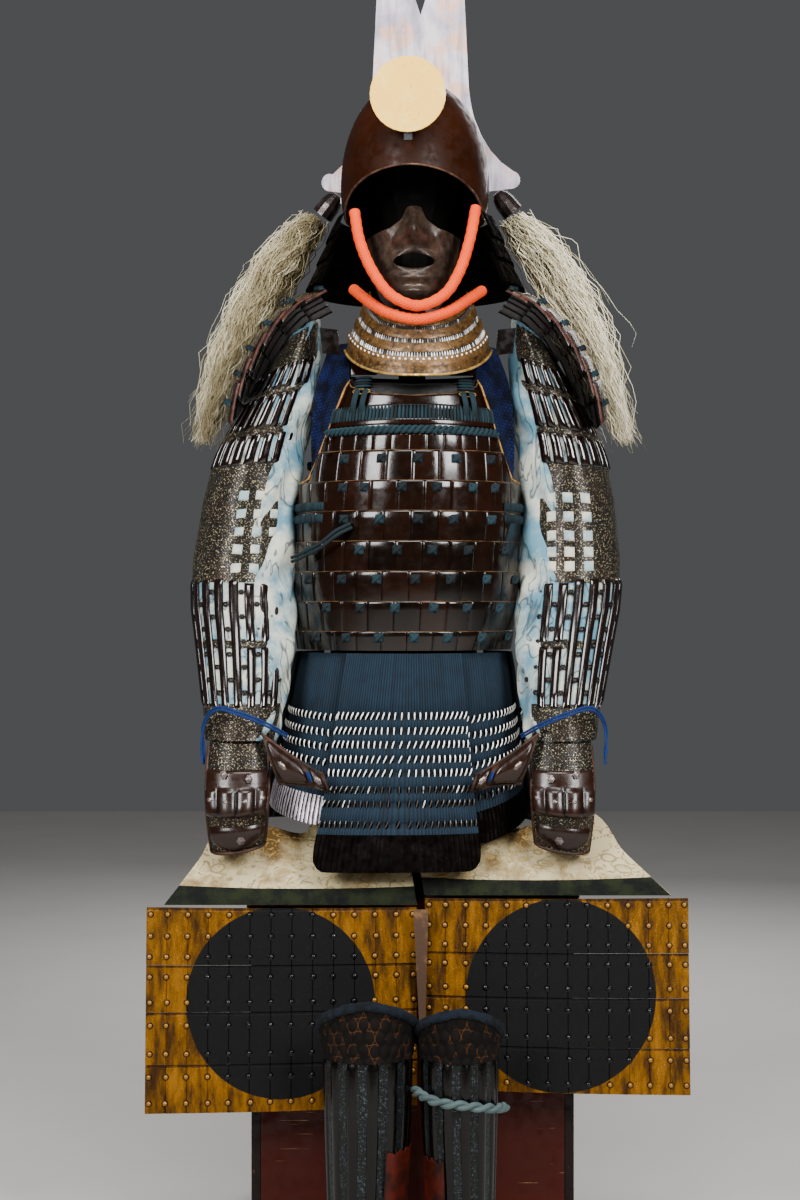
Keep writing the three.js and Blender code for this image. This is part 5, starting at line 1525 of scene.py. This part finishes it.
def build_hand(side, sign):
    """Mail over a leather edge; a knuckle plate with four finger ridges, a fingertip plate, a thumb."""
    at, thumb = hand_at(sign), thumb_at(sign)
    u, v = grid(28, 30)
    base = leaf(at(u, lerp(-0.12, 1, v), -0.5), 1.6)
    piece("hand_mail_" + side, base, FINISH["mail"], replaces=["hand_plate_" + side])
    u, w = grid(56, 26)
    x = lerp(0.06, 0.94, u)
    v = lerp(0.22, 0.66, w)
    fingers = np.abs(np.sin(np.pi * np.clip((x - 0.08) / 0.84, 0, 1) * 4)) ** 0.6
    edge = np.minimum(np.minimum(u, 1 - u) / 0.05, np.minimum(w, 1 - w) / 0.06)
    lift = np.minimum(edge, 1) ** 0.5
    out = 0.4 + lift * (2.6 + 4.6 * fingers * np.clip((w - 0.36) / 0.1, 0, 1))
    # Darker in the grooves between the finger ridges: painted shade.
    shade = 0.75 - 0.6 * (1 - fingers) * (w > 0.4)
    knuckles = skin(at, x, v, out, 0.2, tone=np.clip(shade, 0, 1))
    u, w = grid(30, 12)
    bend = 0.2 * w ** 2 * (2 * u - 1) ** 2
    x = lerp(0.1, 0.9, 0.5 + (u - 0.5) * (1 - 0.18 * w ** 3))
    v = lerp(0.755, 0.985, w) - bend * 0.4
    edge = np.minimum(np.minimum(u, 1 - u) / 0.1, np.minimum(w, 1 - w) / 0.2)
    out = 0.4 + 5.5 * np.minimum(edge, 1) ** 0.5 * np.sin(np.pi * lerp(0.15, 0.85, w))
    tips = skin(at, x, v, out, 0.2, tone=0.6 + 0 * u)
    u, w = grid(20, 24)
    pear = lerp(0.46, 0.36, np.clip((w - 0.1) / 0.6, 0, 1)) * np.sqrt(np.clip(1 - (2 * w - 1) ** 6, 0, 1))
    x = 0.5 + (u - 0.5) * 2 * np.maximum(pear, 0.02)
    dome = np.sqrt(np.maximum(1 - (2 * u - 1) ** 2, 0)) * np.sqrt(np.maximum(1 - (2 * w - 1) ** 8, 0))
    far = lerp(0.03, 0.66, w)
    cover = skin(thumb, x, far, 0.5 + 6.5 * dome, 0.2, tone=0.7 + 0 * u)
    dome = np.sqrt(np.maximum(1 - (2 * u - 1) ** 2, 0)) * np.sqrt(np.maximum(1 - (2 * w - 1) ** 2, 0))
    x, far = 0.5 + (u - 0.5) * 0.9, lerp(0.74, 0.96, w)
    tip = skin(thumb, x, far, 0.5 + 6.5 * dome, 0.2, tone=0.6 + 0 * u)
    piece("hand_covers_" + side, join([knuckles, tips, cover, tip]), FINISH["glove"],
        crease=60)
    u, v = grid(16, 14)
    piece("thumb_leather_" + side, leaf(thumb(u, v, -0.5), 1.6), FINISH["leather"],
        replaces=["thumb_plate_" + side])
    s = np.linspace(0, 1, 30)
    round_u = np.concatenate([1 + 0 * s, 1 - s[1:], 0 * s[1:]])
    round_v = np.concatenate([s, 1 + 0 * s[1:], 1 - s[1:]])
    piping = [tube(at(round_u, round_v, 0.5), 2.4, 8), tube(thumb(round_u, round_v, 0.5), 2.2, 8)]
    piece("hand_piping_" + side, join(piping), FINISH["leather"])
    spots = np.array([(0.36, 0.31), (0.64, 0.27), (0.185, 0.5), (0.395, 0.52), (0.605, 0.52),
        (0.815, 0.5), (0.45, 0.87)])
    o, r, t, n = stations(at, spots[:, 0], spots[:, 1], 5.4)
    flowers = repeat(FLOWER, o, r * 1.35, t * 1.35, n, 0.9)
    o, r, t, n = stations(thumb, [0.5, 0.5], [0.24, 0.85], 6.6)
    flowers = join([flowers, repeat(FLOWER, o, r * 1.4, t * 1.4, n, 0.9)])
    piece("hand_flowers_" + side, flowers, FINISH["socket"])
    o, r, t, n = stations(thumb, [0.5, 0.5], [0.685, 0.725], 3.0)
    piece("thumb_tie_" + side, repeat(strand(4, 15, 4), o, t, r, n), FINISH["navy_cord"])


# ---------- shins ----------
def shin_at(sign):
    """Round a shin from its outer to its inner edge, at height z."""

    def at(a, z, out=0.0):
        half = between(SHIN, "z", "half", z) * (1 if sign < 0 else 0.87) + out
        front = between(SHIN, "z", "front", z) + out
        return stack(sign * between(SHIN, "z", "x", z) + half * np.sin(a), -282 - front * np.cos(a), z)

    return at


def build_shin(side, sign):
    """Mail with smooth splints over it, a leather panel low on the inner side, and the knee pad."""
    at = shin_at(sign)
    u, v = grid(60, 40)
    a, z = np.radians(lerp(-KNEE_TURN, KNEE_TURN, u)), lerp(334, 0, v)
    piece("shin_mail_" + side, leaf(at(a, z, 0 * a), 2.0), FINISH["shin_mail"],
        replaces=["shin_guard_" + side])
    bars = []
    for angle in np.radians([-104, -76, -48, -20, 8, 36, 64, 92]):
        w, s = np.meshgrid([-1, -0.96, -0.7, -0.35, 0, 0.35, 0.7, 0.96, 1],
            [0, 0.01, 0.04, 0.3, 0.6, 0.97, 1])
        z = lerp(331, 1, s)
        out = 0.6 + 4.2 * np.sqrt(np.maximum(1 - w ** 2, 0)) ** 0.8 * np.minimum(s / 0.03 + 0.1, 1)
        bars.append(skin(at, angle + w * 0.15, z, out, 0.3, tone=0.35 + 0 * w))
    piece("shin_splints_" + side, join(bars), FINISH["shin_splint"], crease=50)
    u, v = grid(26, 18)
    a = np.radians(lerp(27, 111, u)) * (1 if sign < 0 else -1)
    top = (207 if sign < 0 else 195) + 2.2 * np.sin(31 * u) + 1.6 * np.sin(77 * u)
    panel = leaf(at(a, lerp(top, 0.5, v), 5.8 + 0.5 * np.sin(9 * u + 6 * v)), 1.2)
    piece("shin_panel_" + side, panel, FINISH["red_leather"])
    low = 0 if sign < 0 else 9
    u, v = grid(60, 20)
    crown = lerp(409, 352, np.abs(2 * u - 1) ** 1.6) - low
    swell = 5 + 3 * np.sin(v * np.pi * 0.6)
    around = np.radians(lerp(-KNEE_TURN, KNEE_TURN, u))
    pad = leaf(at(around, lerp(328, crown, v), swell + 0.6 * np.sin(14 * u)), 3.2)
    pad_piece = piece("knee_quilting_" + side, pad, FINISH["knee"],
        replaces=["knee_pad_" + side])
    s = np.linspace(-1, 1, 120)
    crown = lerp(409, 352, np.abs(s) ** 1.6) - low - 4
    edge = at(np.radians(KNEE_TURN * s), crown, 7.5 + 0 * s)
    thick = 6.6 + 0.5 * np.sin(23 * s) + 0.4 * np.sin(71 * s)
    piece("knee_edge_" + side, tube(edge, thick, 10), FINISH["fuzz"])


# ---------- shoulders and vest ----------
def build_vest(side, sign):
    """One half of the quilted vest, from the chest over the shoulder to the back."""
    u, v = grid(20, 60)
    x = lerp(along(VEST, "in", v), along(VEST, "out", v), u)
    z = along(VEST, "z", v) - 6 * u * u
    over = along(VEST, "over", v)
    across = np.minimum(x / (between(CUIRASS, "z", "half", z) - 7), 0.97)
    depth = np.where(over > 0, between(CUIRASS, "z", "front", z), between(CUIRASS, "z", "back", z)) - 11
    at = stack(CHEST_X + sign * x, -depth * over * np.sqrt(1 - across ** 2), z)
    made = piece("vest_quilting_" + side, leaf(at, 2.0), FINISH["navy"],
        replaces=["vest_" + side])


def guard_at(sign):
    """The shoulder guard: an arc over the arm, bowed from front to back."""

    def at(u, f, out):
        bow = 2 * u - 1
        x = along(SHOULDER_ARC, "x", f) + out - 16 * bow * bow
        z = along(SHOULDER_ARC, "z", f) + out * 0.6 - 14 * bow * bow
        return stack(6 + sign * x, lerp(-100, 112, u), z)

    return at


def build_shoulder_guard(side, sign):
    """Six lames of lapped plates, each one's upper edge outside the lame above, with rolled front
    edges and knots."""
    at = guard_at(sign)
    lames = []
    edges = []
    spots = []
    cells = np.append((np.arange(9)[:, None] + PLATE_CUTS[None]).ravel(), 9) / 9
    lap = np.append(np.tile(PLATE_LAP, 9), -0.9)
    for k in range(6):
        start = 0 if k == 0 else k - 0.4
        u, w = np.meshgrid(cells, [0, 0.04, 0.1, 0.4, 0.8, 0.97, 1])
        out = 1.4 + 6 * (1 - w) + 0.6 * np.sin(np.pi * w) + lap[None] - 0.8 * ((w < 0.02) | (w > 0.99))
        f = lerp(start, k + 1, w) / 6
        tone = np.append(np.repeat(dice.normal(0.45, 0.2, 9), len(PLATE_CUTS)), 0.5)
        lames.append(skin(at, u, f, out, out - 2.0, tone=np.clip(tone[None] + 0 * u, 0, 1)))
        s = np.linspace(0.02, 0.98, 12)
        edges.append(tube(at(0 * s + 0.004, lerp(start, k + 1, s) / 6, 0.8 + 6 * (1 - s)), 1.7, 6))
        edges.append(tube(at(s, start / 6 + 0 * s, 7.0 + 0 * s), 0.8, 6))
        spots += [(q, (k + 0.3) / 6) for q in np.linspace(0.08, 0.92, 6)]
    piece("shoulder_lames_" + side, join(lames), FINISH["guard"], crease=50,
          replaces=["shoulder_guard_" + side])
    piece("shoulder_edges_" + side, join(edges), FINISH["pink_edge"])
    spots = np.array(spots)
    o, r, t, n = stations(at, spots[:, 0], spots[:, 1], 7.0)
    piece("shoulder_knots_" + side, repeat(crossed_knot(10), o, r, t, n), FINISH["teal"])


def build_straps(side, sign):
    """Lacquered shoulder straps and the small tabs at their ends."""
    route = columns("y z", [(-92, 1272), (-74, 1302), (-30, 1334), (24, 1342), (72, 1324), (96, 1294)])
    u, v = grid([0, 0.06, 0.5, 0.94, 1], 24)
    at = stack(CHEST_X + sign * lerp(54, 90, u), along(route, "y", v), along(route, "z", v))
    piece("strap_" + side, leaf(at, 2.0), FINISH["plate"],
        replaces=["shoulder_strap_" + side])
    dress("shoulder_tab_" + side, FINISH["guard"])


# ---------- cords ----------
def cord_piece(name, points, diameter, finish, replaced, strands_in=1, apart=0.0, turns=0.0,
        twist_from=0.0):
    """One cord along given points: a tube, or strands that lie side by side, `apart` between
    their middles and `twist_from` their direction, and wind round each other `turns` times."""
    path = smooth_path(points, 90)
    fine = smooth_path(points, 90 if turns == 0 else 300)
    go = unit(np.gradient(fine, axis=0))
    side = unit(np.cross(go, [0.03, 0.05, 1.0]))
    top = np.cross(side, go)
    turn = np.linspace(0, 2 * np.pi * turns, len(fine)) + twist_from
    thick = diameter / 2 if strands_in == 1 else (diameter - apart) / 2
    forms = []
    for k in range(strands_in):
        phase = turn + 2 * np.pi * k / strands_in
        aside = np.cos(phase)[:, None] * side + np.sin(phase)[:, None] * top
        wrinkle = 1 + 0.05 * np.sin(np.arange(len(fine)) * 1.9) * (diameter > 12)
        forms.append(tube(fine + apart / 2 * aside, thick * wrinkle, 16 if strands_in == 1 else 8,
            tone=0.6))
    made = piece(name, join(forms), finish, replaces=[replaced])
    exit_point = settle(path[:1])[0]
    [tuple(p) for p in settle(path)]
    return made


def build_cords():
    """The padded chin cord, the side tie, the wrist cords and the rope across the right shin."""
    cheeks = [(-84, -100, 1508), (-76, -124, 1462), (-56, -146, 1412), (-28, -160, 1376), (8, -166, 1362),
              (44, -160, 1378), (66, -146, 1412), (82, -124, 1462), (92, -100, 1514)]
    jaw = [(-86, -84, 1398), (-62, -122, 1374), (-34, -148, 1354), (8, -158, 1344), (50, -148, 1356),
           (78, -122, 1376), (102, -84, 1396)]
    cord_piece("orange_cord_cheek", cheeks, 16, FINISH["orange"], "chin_cord_cheek")
    cord_piece("orange_cord_jaw", jaw, 16, FINISH["orange"], "chin_cord_jaw")
    rope = [(2, -300, 284), (14, -334, 283), (34, -350, 279), (62, -354, 276), (92, -350, 272),
            (112, -336, 268), (124, -304, 262)]
    cord_piece("shin_rope", rope, 14, FINISH["rope"], "shin_tie", strands_in=2, apart=6.5,
        turns=4.5)
    tie = [(-88, -130, 1052), (-108, -134, 1042), (-132, -124, 1024), (-160, -98, 1010), (-176, -80, 1004)]
    cord_piece("cuirass_side_tie", tie, 11, FINISH["side"], "side_tie", strands_in=2,
        apart=6, twist_from=1.57)
    for side, sign in SIDES:
        x = -6 if sign < 0 else -18
        wrist = [(x + sign * 172, -164, 752), (x + sign * 196, -190, 768), (x + sign * 236, -204, 786),
                 (x + sign * 270, -190, 792), (x + sign * 290, -168, 768), (x + sign * 291, -164, 712)]
        cord_piece("wrist_lace_" + side, wrist, 7.5, FINISH["navy_cord"],
            "wrist_cord_" + side, strands_in=2, apart=3.9, twist_from=1.57)


# ---------- box, stand and the rest ----------
def slab(one, two):
    """A plain block between two corners; its edges are eased by a bevel when it is made."""
    x, y, z = np.sort(np.array([one, two], float), axis=0).T
    corners = np.array([(x[i], y[j], z[k]) for k in (0, 1) for j in (0, 1) for i in (0, 1)])
    faces = [[0, 2, 3, 1], [4, 5, 7, 6], [0, 1, 5, 4], [2, 6, 7, 3], [0, 4, 6, 2], [1, 3, 7, 5]]
    p = corners[np.array(faces)]
    across = np.linalg.norm(p[:, 1] - p[:, 0], axis=1) / 1000
    up = np.linalg.norm(p[:, 3] - p[:, 0], axis=1) / 1000
    zero = 0 * across
    flat = np.stack([
        np.stack([zero, zero], 1), np.stack([across, zero], 1), np.stack([across, up], 1),
        np.stack([zero, up], 1)], 1)
    return Form(corners, faces, None, flat).outward()


def ease(made, width):
    """Rounds a piece's edges."""
    modifier = made.modifiers.new("eased_edges", "BEVEL")
    modifier.width = width / 1000
    modifier.segments = 2
    modifier.limit_method = "ANGLE"
    return made


def build_box():
    """The lacquered storage box: dark frame posts and rails over red-brown panels."""
    dress("box_body", FINISH["box"])
    dress("box_lid", FINISH["box"])
    posts = []
    for x in (-228.5, 228.5):
        sx = np.sign(x)
        for y in (-150, 230):
            sy = 1 if y > 0 else -1
            posts.append(slab((x - sx * 12, y - sy * 12, 0.2), (x + sx * 1.2, y + sy * 1.2, 459)))
    for y in (-151.2, 229.2):
        posts.append(slab((-217, y, 0.2), (217, y + 2.0, 14)))
    for x in (-229.7, 227.7):
        posts.append(slab((x, -140, 0.2), (x + 2.0, 220, 14)))
    ease(piece("box_frame", join(posts), FINISH["frame"], crease=30), 1.0)
    rails = []
    for z in (460.2, 521.5):
        rails.append(slab((-237, -158.6, z), (237, -156.4, z + 8.2)))
        rails.append(slab((-237, 236.4, z), (237, 238.6, z + 8.2)))
        rails.append(slab((-237.1, -158, z), (-234.9, 238, z + 8.2)))
        rails.append(slab((234.9, -158, z), (237.1, 238, z + 8.2)))
    ease(piece("box_lid_rails", join(rails), FINISH["frame"], crease=30), 0.8)
    # The stand is near black: painted shade inside the helmet and behind the face.
    dress("stand_post", FINISH["painted_shade_wood"])
    dress("stand_head", FINISH["painted_shade_wood"])
    dress("centre_strip", FINISH["strip"])
    u, v = grid(90, 6)
    a = 2 * np.pi * u[:, :-1]
    v = v[:, :-1]
    ring = leaf(stack(lean(820) + 118 * np.sin(a), 2 - 96 * np.cos(a), lerp(836, 801, v)), 3.0, ring=True)
    made = piece("waistband", ring, FINISH["band"], replaces=["thigh_waistband"])


# ---------- studio ----------
def build_studio():
    """A pale floor, soft lights and the camera, level with the armour's middle."""
    floor = bpy.data.meshes.new("floor")
    floor.from_pydata([(-6, -6, 0), (6, -6, 0), (6, 6, 0), (-6, 6, 0)], [], [(0, 1, 2, 3)])
    ground = Finish("floor_paper", {"Roughness": 0.9})
    ground.feed("Base Color", ground.mix(ground.noise(3, 2), "b9b6b1", "c4c1bc"))
    floor.materials.append(ground.material)
    made = bpy.data.objects.new("floor", floor)
    bpy.context.scene.collection.objects.link(made)
    world = bpy.data.worlds.new("studio")
    world.use_nodes = True
    world.node_tree.nodes["Background"].inputs["Color"].default_value = (0.80, 0.82, 0.85, 1)
    world.node_tree.nodes["Background"].inputs["Strength"].default_value = 0.1
    bpy.context.scene.world = world
    lamps = [
        ("key", (1.7, -2.6, 2.3), (0.9, 1.5), 150, (0, 0, 1.0)),
        ("fill", (-1.8, -2.5, 2.2), (1.0, 1.5), 130, (0, 0, 1.0)),
        ("top", (0.0, -1.6, 3.4), (1.4, 0.8), 60, (0, -0.1, 1.0)),
        ("back", (0.6, 2.6, 2.5), (1.8, 1.6), 60, (0, 0, 1.1))]
    for name, where, size, power, target in lamps:
        lamp = bpy.data.lights.new(name, "AREA")
        lamp.shape = "RECTANGLE"
        lamp.size, lamp.size_y = size
        lamp.energy = power
        holder = bpy.data.objects.new(name, lamp)
        holder.location = where
        aim = Vector(target) - Vector(where)
        holder.rotation_euler = aim.to_track_quat("-Z", "Y").to_euler()
        bpy.context.scene.collection.objects.link(holder)
    lens = bpy.data.cameras.new("camera")
    lens.lens = LENS
    camera = bpy.data.objects.new("camera", lens)
    camera.location = settle([EYE])[0]
    camera.rotation_euler = (np.pi / 2, 0, 0)
    bpy.context.scene.collection.objects.link(camera)
    bpy.context.scene.camera = camera


# ---------- the whole ----------
FINISH = make_finishes()
STUD = lathe([(0.2, 0.0), (4.9, 0.0), (4.7, 0.8), (3.5, 1.0), (3.1, 1.9), (1.8, 2.7), (0.2, 2.9)], 9,
    shades=[0, 0, 0, 0.1, 0.8, 1, 1])
DOT = lathe([(0.2, 0.0), (1.7, 0.0), (1.5, 0.8), (0.2, 1.3)], 7)
FLOWER = lathe([(0.2, 0), (4.4, 0), (4.2, 0.9), (2.4, 1.4), (1.9, 1.9), (0.2, 2.2)], 12, 6, 0.12,
    [0, 0.1, 0.6, 0.3, 0.7, 0.9])

build_studio()
build_cords()
build_cuirass()
for section in SKIRTS:
    build_skirt(section)
build_helmet()
build_face()
build_box()
for side, sign in SIDES:
    build_thigh(side)
    build_hair(side, sign)
    build_sleeve(side, sign)
    build_hand(side, sign)
    build_shin(side, sign)
    build_vest(side, sign)
    build_shoulder_guard(side, sign)
    build_straps(side, sign)
